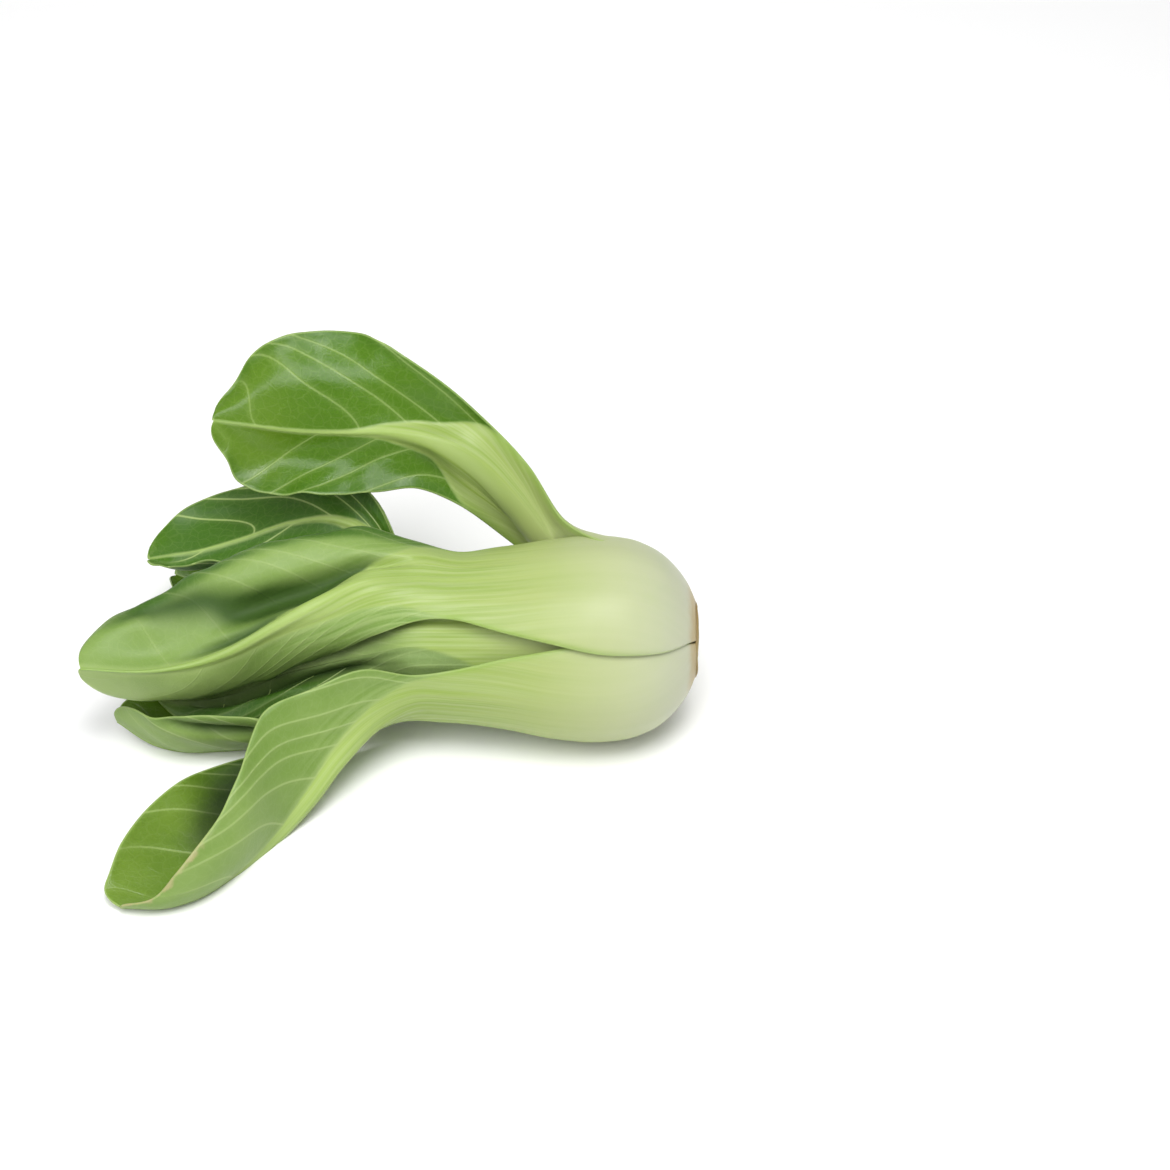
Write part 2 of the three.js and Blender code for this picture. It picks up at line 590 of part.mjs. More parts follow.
// Cuts every guard that comes near out of the solid and keeps the largest piece left.
function clearOf(solid, guards, own) {
  const box = boxOf(solid.points);
  let body = toManifold(solid);
  let cut = false;
  for (const guard of guards) {
    if (guard.owner === own || apart(box, guard.box)) continue;
    const left = body.subtract(guard.body);
    if (left.volume() < body.volume() - CUT_LEAST) {
      body = left;
      cut = true;
    }
  }
  if (!cut) return solid;
  const pieces = body.decompose();
  pieces.sort((a, b) => b.volume() - a.volume());
  const mesh = pieces[0].getMesh();
  const points = [];
  for (let i = 0; i < mesh.vertProperties.length; i += mesh.numProp) {
    points.push([mesh.vertProperties[i], mesh.vertProperties[i + 1], mesh.vertProperties[i + 2]]);
  }
  const triangles = [];
  for (let i = 0; i < mesh.triVerts.length; i += 3) {
    triangles.push([mesh.triVerts[i], mesh.triVerts[i + 1], mesh.triVerts[i + 2]]);
  }
  return { points, triangles };
}

function material(colour) {
  return new THREE.MeshStandardMaterial({ color: colour, roughness: 0.5, metalness: 0 });
}

function meshOf(solid, name, colour) {
  const geometry = new THREE.BufferGeometry();
  geometry.setAttribute('position', new THREE.BufferAttribute(Float32Array.from(solid.points.flat()), 3));
  geometry.setIndex(solid.triangles.flat());
  geometry.computeVertexNormals();
  const mesh = new THREE.Mesh(geometry, material(colour));
  mesh.name = name;
  return mesh;
}

const guards = [];
const parts = [];

function place(name, solid, owner, colour) {
  const clear = clearOf(solid, guards, owner);
  const guard = grown(solid, GUARD);
  guards.push({ owner, body: toManifold(guard).add(toManifold(clear)), box: boxOf(guard.points) });
  parts.push({ name, solid: clear, colour });
}

for (const leaf of LEAVES) {
  const ring = RINGS[leaf.ring];
  leaf.rail = spline(freeKeys(leaf));
  leaf.ribScale = ring.rib;
  place(`${leaf.name}_stalk`, stalkSolid(leaf), leaf.name, ring.stalk);
  place(`${leaf.name}_blade`, bladeSolid(leaf), leaf.name, ring.blade);
}
place('stem_core', stemSolid(), 'stem', STEM_COLOUR);

const whole = boxOf(parts.flatMap((part) => part.solid.points));
const shift = [-(whole.low[0] + whole.high[0]) / 2, -(whole.low[1] + whole.high[1]) / 2, -whole.low[2]];
const group = new THREE.Group();
for (const part of parts) {
  part.solid.points = part.solid.points.map((p) => add(p, shift));
  group.add(meshOf(part.solid, part.name, part.colour));
}

export default group;
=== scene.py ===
import math
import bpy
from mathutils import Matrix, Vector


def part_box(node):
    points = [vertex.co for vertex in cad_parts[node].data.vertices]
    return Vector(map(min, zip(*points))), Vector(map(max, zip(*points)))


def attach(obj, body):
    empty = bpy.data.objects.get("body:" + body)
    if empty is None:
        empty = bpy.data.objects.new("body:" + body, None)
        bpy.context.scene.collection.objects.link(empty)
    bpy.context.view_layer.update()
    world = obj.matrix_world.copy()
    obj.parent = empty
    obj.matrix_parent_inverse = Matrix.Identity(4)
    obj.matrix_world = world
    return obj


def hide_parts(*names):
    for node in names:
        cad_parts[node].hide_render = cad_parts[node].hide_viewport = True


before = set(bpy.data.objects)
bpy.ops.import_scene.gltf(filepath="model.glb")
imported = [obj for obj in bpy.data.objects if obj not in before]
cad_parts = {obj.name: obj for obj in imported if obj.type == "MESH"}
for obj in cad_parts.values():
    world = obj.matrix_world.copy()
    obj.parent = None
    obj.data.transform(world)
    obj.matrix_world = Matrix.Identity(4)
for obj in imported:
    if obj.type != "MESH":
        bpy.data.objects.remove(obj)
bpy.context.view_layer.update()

from types import SimpleNamespace

import bpy
import numpy as np
from mathutils import Vector

# A head of baby bok choy on its side. Lengths are millimetres until a mesh is made, then metres.
# While the leaves are shaped, the butt is at x = 0 and the head runs along -x, as in the source.
# The stem core gives the step from there to the frame.

AXIS_Z = 34.9  # height of the head's axis
FLOOR = 0.8  # no leaf reaches lower
STEP = 2e-3  # of growth or share, for slopes
stem_low, stem_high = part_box("stem_core")
PLACE = np.array([
    stem_high.x * 1000,
    (stem_low.y + stem_high.y) * 500,
    (stem_low.z + stem_high.z) * 500 - AXIS_Z,
])

# Outline of the head: growth (0 butt, 1 waist, 2 tip), distance from the butt, radius.
BULB = [
    (0.00, 0.4, 13.0), (0.06, 3.2, 19.4), (0.16, 10.2, 28.0), (0.28, 20.0, 33.7),
    (0.42, 34.0, 36.0), (0.56, 49.0, 34.8), (0.72, 67.0, 31.0), (0.86, 82.0, 28.8),
    (1.00, 97.0, 28.0), (1.15, 112.0, 28.0),
]
# Half width of a stalk along its curved face.
STALK = [
    (0.00, 11.0), (0.06, 17.0), (0.16, 27.0), (0.28, 33.0), (0.42, 34.5),
    (0.56, 30.0), (0.72, 23.0), (0.86, 17.5), (1.00, 15.0), (1.15, 14.0),
]
# Thickness of an outer stalk and its midrib.
FLESH = [
    (0.00, 3.0), (0.06, 4.2), (0.16, 5.6), (0.28, 6.8), (0.42, 7.0), (0.56, 6.8), (0.72, 6.4),
    (0.86, 6.1), (1.00, 6.0), (1.12, 5.3), (1.28, 4.1), (1.46, 2.9), (1.62, 2.1), (1.86, 1.3),
    (2.00, 1.0),
]
# Half width of the midrib, which takes over from the stalk as the blade begins.
RIB = [
    (0.80, 16.5), (0.90, 13.4), (1.00, 10.8), (1.12, 8.6), (1.28, 6.2), (1.46, 4.2), (1.62, 2.8),
    (1.78, 1.7), (1.86, 1.2), (2.00, 0.5),
]
# Share of the midrib that stands out on the outer side.
RIB_OUT = [(0.90, 0.0), (1.00, 0.1), (1.15, 0.45), (1.30, 0.65), (2.00, 0.65)]

# Rings of leaves from the outside in: radius scale along the growth, height up the stem,
# thickness, midrib width, rows (stalk, blade) and columns of the mesh, and what its leaves share.
RINGS = [
    dict(scale=[(0, 1), (2, 1)], inset=0, flesh=1, rib=1, rows=(70, 84), cols=60, usual={}),
    dict(scale=[(0, 0.74), (0.16, 0.79), (0.42, 0.79), (0.7, 0.84), (1, 0.9), (2, 0.9)],
         inset=5.5, flesh=0.84, rib=0.8, rows=(40, 84), cols=68, usual={}),
    dict(scale=[(0, 0.5), (0.16, 0.56), (0.42, 0.57), (0.7, 0.6), (1, 0.68), (2, 0.68)],
         inset=9.5, flesh=0.62, rib=0.6, rows=(30, 48), cols=32,
         usual=dict(stalk=(0.62, 0.62), tuck=(0.05, 0.03), wave=(1.2, 2.5, 3))),
    dict(scale=[(0, 0.3), (0.16, 0.36), (0.42, 0.36), (0.7, 0.38), (1, 0.42), (2, 0.42)],
         inset=13, flesh=0.4, rib=0.4, rows=(24, 32), cols=20,
         usual=dict(stalk=(0.38, 0.38), tuck=(0.05, 0.03), wave=(0.6, 2.5, 3), tone=0.9)),
]

# The leaves, ring by ring. Pairs are for side a and side b of the midrib.
# theta: place round the head, in degrees. waist: scale of its radius at the waist.
# stalk, tuck: width of each half of the stalk, and how far its edge draws in.
# free: growth where the leaf has left the head.
# rails: growth, midrib, margin on side a, margin on side b, bulge of each half.
# dip: groove beside the midrib. wave: height, cycles and phase of the ripple along the margin.
# roll, roll_from: how far the margin rolls in, and from which share of the half width.
# puff: how far the blade swells between its side veins. folds: the rows that crease reads, for the
# depth of each crease and for the painted shade in it.
# gully_and_shade: depth and the rows that band reads, for a trough that also gets painted shade;
# painted_hollow_shade: such rows for painted shade on the inner face only.
# lean, rate: how the side veins lean, and how close they are. raised: size of the raised veins,
# none at 0. veined, combed: strength of the drawn veins, and of the fine ones beside the midrib.
# tone, paler: how yellow the blade is, and how much more towards its tip; on side b of leaf_01 that
# extra is painted light on a flank that faces down.
# rim_green_and_shade, rim_from: deeper green towards the margin, partly the blade's own colour and
# partly painted shade; from below 0 it darkens a whole blade as painted shade. dried: where the margin
# is tan.
# winged, green_rib: where green runs down the stalk's margin, and over the midrib.
LEAVES = {
    "leaf_01": dict(
        ring=0, theta=10, waist=1.1, stalk=(1, 0.9), tuck=(0.02, 0.02), dip=(3.8, 0),
        # the paler tip on side b is painted light on a flank that faces down
        wave=(1, 2.2, 0), free=0.9, tone=0.4, roll=(2.6, 1.0), paler=(0.0, 0.9), puff=(0.25, 0.15),
        lean=(0.62, 0.76), combed=(0.45, 1.0), rim_green_and_shade=(0.9, 0.2), rim_from=(0.64, 0.8),
        folds=[(5.0, 0.3, 0.09, 0.95, 1.7, 0.0), (2.2, 0.1, 0.05, 1.35, 1.85, 0.05)], veined=0.4,
        raised=(0, 0.9),
        # a real trough along the flap, with painted shade along it
        gully_and_shade=(2.5, [(1.08, 0.12, 0.07, 0.0), (1.2, 0.14, 0.08, 0.6), (1.36, 0.2, 0.1, 0.9),
            (1.5, 0.3, 0.13, 1.0), (1.58, 0.4, 0.15, 1.0), (1.65, 0.52, 0.16, 1.0),
            (1.72, 0.6, 0.16, 1.0), (1.8, 0.68, 0.15, 0.9), (1.86, 0.8, 0.12, 0.7),
            (1.94, 0.9, 0.08, 0.0)]),
        rails=[
            (1, (-98, -6.5, 66.5), (-98, 13, 68.5), (-95, -19, 58), 2, 1.5),
            (1.12, (-112, -11, 68), (-113, 15.5, 72.5), (-106, -21, 54.5), 2, 1.5),
            (1.28, (-127, -16, 63.5), (-128, 16, 69), (-123, -20, 44), 4, 2),
            (1.45, (-142, -20.5, 57), (-148, 14, 66.5), (-144, -17, 31), 6, 3),
            (1.62, (-158, -24.5, 49), (-168, 9, 60.5), (-163, -15, 23.5), 6, 4),
            (1.78, (-174, -27, 44.5), (-187, 0, 54.5), (-184, -18, 21.5), 4, 4),
            (1.9, (-189, -29, 44), (-200, -9, 51.5), (-198, -22, 26), 2, 2),
            (2, (-207, -30, 46), None, None, 1, 1),
        ]),
    "leaf_02": dict(
        ring=0, theta=105, waist=1.03, stalk=(0.95, 1), tuck=(0.12, 0.03),
        wave=(0.6, 2.5, 1), tone=0.2, paler=(0.2, 0.7), dried=(1.72, 2.05, 1), combed=(0.5, 0.4),
        lean=(0.66, 0.6), puff=(0.35, 0.4), rim_green_and_shade=(0.1, 0.1), raised=(0.95, 0.95),
        # painted shade on the inner face, inside the curl
        painted_hollow_shade=[(1.3, -0.8, 0.5, 0.9), (1.5, -0.75, 0.5, 1.0), (1.62, -0.65, 0.35, 1.0),
            (1.7, -0.5, 0.22, 0.8), (1.78, -0.4, 0.18, 0.0)],
        rails=[
            (1.12, (-109, -33, 24.5), (-112, -30, 46), (-108, -20, 12), 1.5, 1),
            (1.28, (-121, -44, 17.5), (-130, -38, 43.5), (-124, -25, 8.5), 2, 1),
            (1.42, (-131, -55, 8.5), (-144, -47, 42), (-142, -28, 7), 3, 0),
            (1.55, (-142, -66, 1.2), (-150, -60, 36), (-158, -35, 9.5), 5, 2),
            (1.7, (-154, -81, 0), (-156, -82, 28), (-176, -52, 14), 6, 3),
            (1.85, (-167, -93, 0), (-170, -100, 18), (-191, -77, 10.5), 5, 3),
            (1.93, (-177, -97, 0.8), (-178, -102, 10), (-194, -89, 7), 3, 2),
            (2, (-189, -99, 3), None, None, 2, 1),
        ]),
    "leaf_03": dict(
        ring=0, theta=200, stalk=(1, 1), tuck=(0.08, 0.03),
        wave=(1.5, 2.1, 2), free=0.86, tone=0.3, roll=(1.0, 1.0),
        rails=[
            (1, (-97, 13.5, 6.5), (-98, 0, 6.5), (-96, 25.5, 14), 1, 1.5),
            (1.15, (-111, 24, 4.5), (-113, 10, 4), (-110, 38, 13.5), 1, 1),
            (1.35, (-130, 40, 2), (-135, 16, 5), (-126, 60, 18), 1, 3),
            (1.55, (-148, 55, 0), (-157, 24, 12), (-141, 77, 24), 3, 5),
            (1.75, (-166, 66, 0), (-176, 38, 15), (-159, 84, 23), 4, 5),
            (1.9, (-179, 71, 2), (-189, 54, 12), (-178, 81, 15), 3, 3),
            (2, (-191, 74, 5), None, None, 1, 1),
        ]),
    "leaf_04": dict(
        ring=0, theta=300, stalk=(0.75, 0.75), tuck=(0.03, 0.12),
        wave=(1.2, 1.6, 1), free=0.42, tone=0.15, roll=(-0.5, -6.5), paler=(0.4, 0.3), lean=(0.5, 0.68),
        rate=5.0, combed=(0.0, 0.0), puff=(0.25, 0.2), rim_green_and_shade=(0.4, 0.5), rim_from=(0.75, 0.8),
        roll_from=(0.5, 0.4), raised=(0.86, 0.9), veined=0.7,
        rails=[
            (0.56, (-48, 31.5, 53), (-49, 33, 36.5), (-46, 26, 67), 3, 3),
            (0.72, (-62, 37, 67), (-66, 35, 51.5), (-57, 35, 82), 3, 3),
            (0.88, (-76, 40.5, 80), (-82, 35, 66), (-70, 42, 94.5), 2.5, 2.5),
            (1.02, (-89, 42, 88), (-95, 35, 73), (-84, 47, 106), 2, 2),
            (1.2, (-105, 43, 91.5), (-109, 33, 73.5), (-102, 52, 117), 2, 2),
            (1.4, (-121, 44.5, 90.5), (-126, 32, 73), (-120, 58, 122), 4, 0),
            (1.6, (-137, 46, 90), (-145, 34, 72), (-139, 59, 120), 5, 0),
            (1.78, (-150, 47, 91), (-159, 37, 75.5), (-155, 57, 111.5), 4, 0),
            (1.9, (-158, 47.5, 92), (-164, 42, 83), (-162.5, 53, 102), 2, 0),
            (2, (-167, 48, 93), None, None, 0, 0),
        ]),
    "leaf_05": dict(
        ring=1, theta=57, stalk=(0.66, 0.75), tuck=(0.06, 0.03),
        # its whole blade takes the deeper rim green as painted shade
        wave=(1.6, 2.6, 0), tone=0.0, winged=(-1, 0.75, -0.1), green_rib=0.85, rim_green_and_shade=(0.75, 0.95),
        rim_from=(-0.3, -0.3), raised=(0.9, 0.9),
        folds=[(4.0, -0.3, 0.12, 1.1, 1.9, 0.1), (3.0, 0.35, 0.1, 1.2, 1.9, 0.1)], veined=0.35,
        combed=(0.15, 0.15),
        rails=[
            (1.15, (-111, -17, 42.5), (-112, -6, 55), (-111, -19, 27), 1, 1),
            (1.3, (-126, -14, 36), (-129, -4, 51), (-127, -18, 21), 2, 1),
            (1.45, (-141, -11.5, 29), (-146, -1, 44), (-144, -19, 16), 2, 2),
            (1.62, (-158, -9, 18.5), (-163, 0, 34), (-161, -19, 11), 3, 2),
            (1.78, (-171, -8, 14), (-176, -1, 27), (-174, -16, 11), 3, 1),
            (1.9, (-179, -8, 13.5), (-183, -2, 22), (-181, -13, 12), 2, 1),
            (2, (-187, -7, 15), None, None, 1, 1),
        ]),
    "leaf_06": dict(
        ring=1, theta=155, stalk=(0.75, 0.75), tuck=(0.06, 0.03),
        wave=(1, 2.3, 1), tone=0.5, raised=(0, 0.9),
        # a real trough under the lip, with painted shade in it
        gully_and_shade=(3.5, [(1.4, 0.78, 0.05, 0.0), (1.5, 0.78, 0.08, 1.0), (1.62, 0.8, 0.08, 1.0),
            (1.7, 0.9, 0.06, 0.6), (1.76, 0.97, 0.04, 0.0)]),
        rails=[
            (1.12, (-112, -9, 6), (-112, -21, 20), (-112, 6, 9), 1, 1),
            (1.28, (-128, -12, 3), (-128, -25, 21.5), (-128, 8, 10), 2, 1),
            (1.45, (-147, -16, 1.2), (-147, -33, 25.5), (-147, 8, 12), 4, 2),
            (1.62, (-165, -19, 0.4), (-170, -31, 26.5), (-166, 6, 14), 5, 3),
            (1.78, (-178, -20, 0.6), (-186, -26, 22), (-181, 2, 15), 4, 2),
            (1.9, (-190, -18, 3), (-196, -19, 19), (-192, -4, 14), 2, 1),
            (2, (-201, -13, 8), None, None, 1, 1),
        ]),
    "leaf_07": dict(
        ring=1, theta=255, stalk=(0.72, 0.72), tuck=(0.06, 0.03),
        # its whole blade takes the deeper rim green as painted shade
        wave=(1, 2.5, 3), tone=0.0, veined=1.7, combed=(0.0, 0.0), rim_green_and_shade=(1.0, 1.0),
        rim_from=(-0.3, -0.3), raised=(1.15, 1.15), rate=5.5,
        rails=[
            (1.15, (-111, 34, 50), (-112, 24, 38), (-111, 40, 63), 1, 1),
            (1.3, (-126, 40, 56), (-130, 25, 46), (-126, 54, 69), 2, 2),
            (1.45, (-142, 43, 52.5), (-147, 25, 46), (-142, 62, 63), 3, 2),
            (1.62, (-160, 42, 46), (-169, 28, 45), (-163, 62, 54), 4, 2),
            (1.78, (-176, 40, 42), (-184, 30, 43), (-181, 58, 47.5), 4, 2),
            (1.9, (-185, 39, 41), (-190, 33, 41.5), (-190, 50, 44), 2, 1),
            (2, (-193, 38, 40), None, None, 1, 1),
        ]),
    "leaf_08": dict(
        ring=1, theta=350, waist=0.84, stalk=(0.7, 0.45), tuck=(0.03, 0.06),
        wave=(1.2, 2.5, 3), tone=0.25,
        rails=[
            (1.2, (-113, 4, 57), (-113, 18, 60), (-113, -3, 57), 1, 1),
            (1.4, (-129, 5, 55), (-129, 23, 58), (-129, -6, 54), 1.5, 1.5),
            (1.65, (-148, 7, 50), (-149, 22, 53), (-149, -6, 49), 1.5, 1.5),
            (1.85, (-163, 8, 48), (-164, 18, 50), (-164, -2, 48), 1, 1),
            (2, (-174, 8, 48), None, None, 1, 1),
        ]),
    "leaf_09": dict(
        ring=2, theta=110, tone=0.5,
        rails=[
            (1.2, (-112, -12, 26), (-112, -10, 37), (-112, -4, 16), 1, 1),
            (1.4, (-127, -7, 22), (-127, -5, 38), (-127, 4, 14), 3, 3),
            (1.65, (-145, -4, 20), (-145, -1, 34), (-146, 6, 15), 3, 3),
            (2, (-164, 0, 19), None, None, 1, 1),
        ]),
    "leaf_10": dict(
        ring=2, theta=225, tone=0.55,
        rails=[
            (1.2, (-112, 14, 21), (-112, 5, 17), (-112, 22, 30), 1, 1),
            (1.4, (-128, 18, 20), (-128, 6, 17), (-128, 27, 34), 3, 3),
            (1.65, (-146, 22, 21), (-147, 11, 18), (-146, 30, 35), 3, 3),
            (2, (-166, 28, 23), None, None, 1, 1),
        ]),
    "leaf_11": dict(
        ring=2, theta=325, tone=0.55,
        rails=[
            (1.2, (-112, 13, 48), (-112, 20, 41), (-112, 5, 46), 1, 1),
            (1.4, (-126, 14, 46), (-126, 19, 36), (-126, 4, 42), 2, 2),
            (1.65, (-142, 16, 43), (-142, 19, 34), (-142, 8, 40), 2, 2),
            (2, (-158, 18, 41), None, None, 1, 1),
        ]),
    "leaf_12": dict(
        ring=3, theta=60,
        rails=[
            (1.3, (-110, -5, 41), (-110, 2, 45), (-110, -6, 34), 1, 1),
            (1.6, (-122, -2, 41), (-122, 5, 43), (-122, -2, 33), 2, 2),
            (2, (-137, 1, 39), None, None, 1, 1),
        ]),
    "leaf_13": dict(
        ring=3, theta=180,
        rails=[
            (1.3, (-110, 3, 26), (-110, -4, 28), (-110, 9, 29), 1, 1),
            (1.6, (-124, 4, 26), (-124, -2, 30), (-124, 11, 31), 2, 2),
            (2, (-140, 6, 27), None, None, 1, 1),
        ]),
    "leaf_14": dict(
        ring=3, theta=300,
        rails=[
            (1.3, (-110, 9, 40), (-110, 10, 33), (-110, 4, 44), 1, 1),
            (1.6, (-122, 11, 38), (-122, 11, 31), (-122, 7, 43), 2, 2),
            (2, (-136, 12, 37), None, None, 1, 1),
        ]),
}

# A leaf's own forms, in millimetres.
BLADE_THICK = 0.55
STALK_EDGE = 0.7  # thickness of a stalk at its margin
LEAST_FLESH = 0.8
FRILL = 0.5  # height of the fine frill on a margin
PUFF = 0.5  # depth of the puffs between side veins
RIDGE = 0.1  # height of the fine ridges along a stalk
BLADE_SWELL = 0.8  # height of the slow swells of a blade, and of a stalk's face
STALK_SWELL = 0.22
RIM_ROUND = 0.4  # how far the rim stands out, as a share of the sheet's thickness

# Places in growth.
BLADE_BEGINS = (0.82, 1.06)
LEAVES_HEAD = 0.3  # length over which a stalk leaves the head
TIP_START = 1.62  # where the blade starts to round off
TIP_LEAST = 0.02  # share of the width left at the very tip

# Side veins: how far they lean forward, how many there are to a unit of growth at the waist,
# and how fast they thin out ahead of it and behind it.
VEIN_LEAN = 0.58
VEIN_RATE = 7.5
VEIN_THIN = (1.3, 8.0)
HALVINGS = 24  # steps to find where a vein runs


def smooth(low, high, x):
    """Smooth step from 0 at low to 1 at high."""
    s = np.clip((x - low) / (high - low), 0, 1)
    return s * s * (3 - 2 * s)


def unit(a):
    """Each vector at length 1."""
    return a / np.maximum(np.linalg.norm(a, axis=-1, keepdims=True), 1e-9)


def spline(keys):
    """Smooth curve through rows of growth and values."""
    table = np.array(keys, float)
    x, values = table[:, 0], table[:, 1:]
    span = np.diff(x)[:, None]
    chord = np.diff(values, axis=0) / span
    slope = np.empty_like(values)
    slope[0], slope[-1] = chord[0], chord[-1]
    slope[1:-1] = (chord[:-1] * span[1:] + chord[1:] * span[:-1]) / (span[:-1] + span[1:])

    def at(t):
        t = np.clip(np.asarray(t, float), x[0], x[-1])
        k = np.clip(np.searchsorted(x, t) - 1, 0, len(x) - 2)
        h = span[k]
        s = (t - x[k])[..., None] / h
        return ((1 + 2 * s) * (1 - s) ** 2 * values[k] + s * (1 - s) ** 2 * h * slope[k]
                + s * s * (3 - 2 * s) * values[k + 1] + s * s * (s - 1) * h * slope[k + 1])

    return at


bulb = spline(BULB)
stalk_width = spline(STALK)
flesh_at = spline(FLESH)
rib_width = spline(RIB)
rib_share = spline(RIB_OUT)
for ring in RINGS:
    ring["curve"] = spline(ring["scale"])


def by_side(leaf, key, usual, u):
    """A leaf's value for side a or side b."""
    side_a, side_b = leaf.get(key, usual)
    return np.where(u < 0, side_b, side_a)


def waver(t, u, along, across, shift):
    """A wave over the leaf, by its turn along the growth and across the blade."""
    return np.sin(along * t + across * u + shift)


def blade_share(t):
    """From 0 on the stalk to 1 where the blade has begun."""
    return smooth(*BLADE_BEGINS, t)


def tip_round(t):
    """The blade narrows to a rounded tip."""
    s = np.clip((t - TIP_START) / (2 - TIP_START), 0, 1)
    return np.maximum(TIP_LEAST, np.sqrt(1 - s * s))


def stalk_row(leaf, t):
    """Place along the head and radius of a leaf's face where it wraps round the head."""
    ring = RINGS[leaf["ring"]]
    along, radius = bulb(t)[..., 0], bulb(t)[..., 1]
    flare = 1 + (leaf.get("waist", 1) - 1) * smooth(0.5, 1, t)
    x = -along - ring["inset"] * (1 - smooth(0, 0.5, t))
    return x, radius * ring["curve"](t)[..., 0] * flare


def stalk_key(leaf, t):
    """Row of the free surface where the leaf still wraps round the head."""
    theta = math.radians(leaf["theta"])
    out = np.array([0, -math.sin(theta), math.cos(theta)])
    across = np.array([0, math.cos(theta), math.sin(theta)])
    x, radius = stalk_row(leaf, np.float64(t))
    mid = np.array([x, 0, AXIS_Z]) + out * radius
    chords, bulges = [], []
    for sign, share in zip((1, -1), leaf["stalk"]):
        turn = stalk_width(t)[0] * share / radius
        chords.extend(across * sign * radius * math.sin(turn) - out * radius * (1 - math.cos(turn)))
        bulges.append(radius * (1 - math.cos(turn / 2)))
    return [t, *mid, *chords, *bulges]


def free_keys(leaf):
    """Rows of the free surface: midrib, half chord to each margin, bulge of each half."""
    keys = [stalk_key(leaf, t) for t, _, _ in BULB if 0.1 <= t <= leaf.get("free", 1)]
    for t, mid, side_a, side_b, bulge_a, bulge_b in leaf["rails"]:
        chords = []
        for side, before in ((side_a, keys[-1][4:7]), (side_b, keys[-1][7:10])):
            at_tip = side is None
            chords.extend(np.multiply(before, 0.9) if at_tip else np.subtract(side, mid) / tip_round(t))
        keys.append([t, *mid, *chords, bulge_a, bulge_b])
    return keys


def wrapped_point(leaf, t, u):
    """Point of the outer face where the stalk wraps round the head."""
    x, radius = stalk_row(leaf, t)
    psi = stalk_width(t)[..., 0] * by_side(leaf, "stalk", None, u) * u / np.maximum(5, radius)
    reach = radius * (1 - by_side(leaf, "tuck", None, u) * psi * psi)
    angle = math.radians(leaf["theta"]) - psi
    return np.stack([x, -np.sin(angle) * reach, AXIS_Z + np.cos(angle) * reach], -1)


def free_point(leaf, t, u):
    """Point of the outer face where the leaf is free of the head."""
    sign = np.where(u < 0, -1.0, 1.0)
    side = u < 0
    a = np.abs(u)
    row = leaf["rail"](t)
    narrow = tip_round(t)
    chord = np.where(side[..., None], row[..., 6:9], row[..., 3:6]) * narrow[..., None]
    along = unit(leaf["rail"](t + STEP)[..., 0:3] - leaf["rail"](t - STEP)[..., 0:3])
    outward = unit(np.cross(chord, along)) * sign[..., None]
    bulge = np.where(side, row[..., 10], row[..., 9]) * narrow * 4 * a * (1 - a)
    groove = by_side(leaf, "dip", (0, 0), u) * smooth(1.05, 1.35, t) * (1 - smooth(1.8, 2, t))
    height, cycles, phase = leaf["wave"]
    ripple = (height * smooth(1.1, 1.45, t) * a ** 3 * np.sqrt(narrow)
              * waver(t, sign, 2 * np.pi * cycles, 0.9, phase))
    lift = bulge - groove * np.sin(2 * np.pi * a) + ripple
    return row[..., 0:3] + chord * a[..., None] + outward * lift[..., None]


def leaf_point(leaf, t, u):
    """Point of the leaf's outer face at growth t and share u of the way to the margin."""
    end = leaf.get("free", 1)
    loose = smooth(end - LEAVES_HEAD, end, t)[..., None]
    return wrapped_point(leaf, t, u) * (1 - loose) + free_point(leaf, t, u) * loose


def leaf_normal(leaf, t, u):
    """Direction out of the leaf's outer face."""
    du = leaf_point(leaf, t, np.minimum(1, u + STEP)) - leaf_point(leaf, t, np.maximum(-1, u - STEP))
    dt = leaf_point(leaf, np.minimum(2, t + STEP), u) - leaf_point(leaf, np.maximum(0, t - STEP), u)
    return unit(np.cross(du, dt))


def half_width(leaf, t, u):
    """Distance from the midrib to the margin on the side of u."""
    row = leaf["rail"](t)
    chord = np.where((u < 0)[..., None], row[..., 6:9], row[..., 3:6])
    free = np.linalg.norm(chord, axis=-1) * tip_round(t)
    wrapped = stalk_width(t)[..., 0] * by_side(leaf, "stalk", None, u)
    loose = smooth(0.8, 1, t)
    return wrapped * (1 - loose) + free * loose


def rib_edge(leaf, t, u):
    """Share of the half width that is thick flesh: all of the stalk, then the midrib."""
    rib = np.minimum(1, rib_width(t)[..., 0] * RINGS[leaf["ring"]]["rib"] / half_width(leaf, t, u))
    begun = blade_share(t)
    return 1 - begun + rib * begun


def rib_inside(t):
    """Share of the midrib's width that shows on the inner face."""
    return 1 - blade_share(t) * (0.45 + 0.45 * smooth(1.05, 1.45, t))


def vein_phase(leaf, t, u):
    """Whole on a side vein and half way between two; the veins lean forward and thin out."""
    q = np.abs(u) ** 1.1
    lean = by_side(leaf, "lean", (VEIN_LEAN, VEIN_LEAN), u)
    start = (t - 2 * lean * q) / (1 - lean * q) - 1
    ahead, behind = (np.log1p(thin * np.abs(start)) / thin for thin in VEIN_THIN)
    phase = leaf.get("rate", VEIN_RATE) * np.where(start > 0, ahead, -behind)
    seed = leaf["seed"]
    wander = 0.2 * waver(t, u, 3.1, 2.4, seed) + 0.1 * waver(t, u, 7, -4, 2 * seed)
    calm = 0.4 + 0.6 * smooth(-0.3, 0.1, start)
    return phase + wander * calm + np.where(u < 0, 0.5, 0.0)


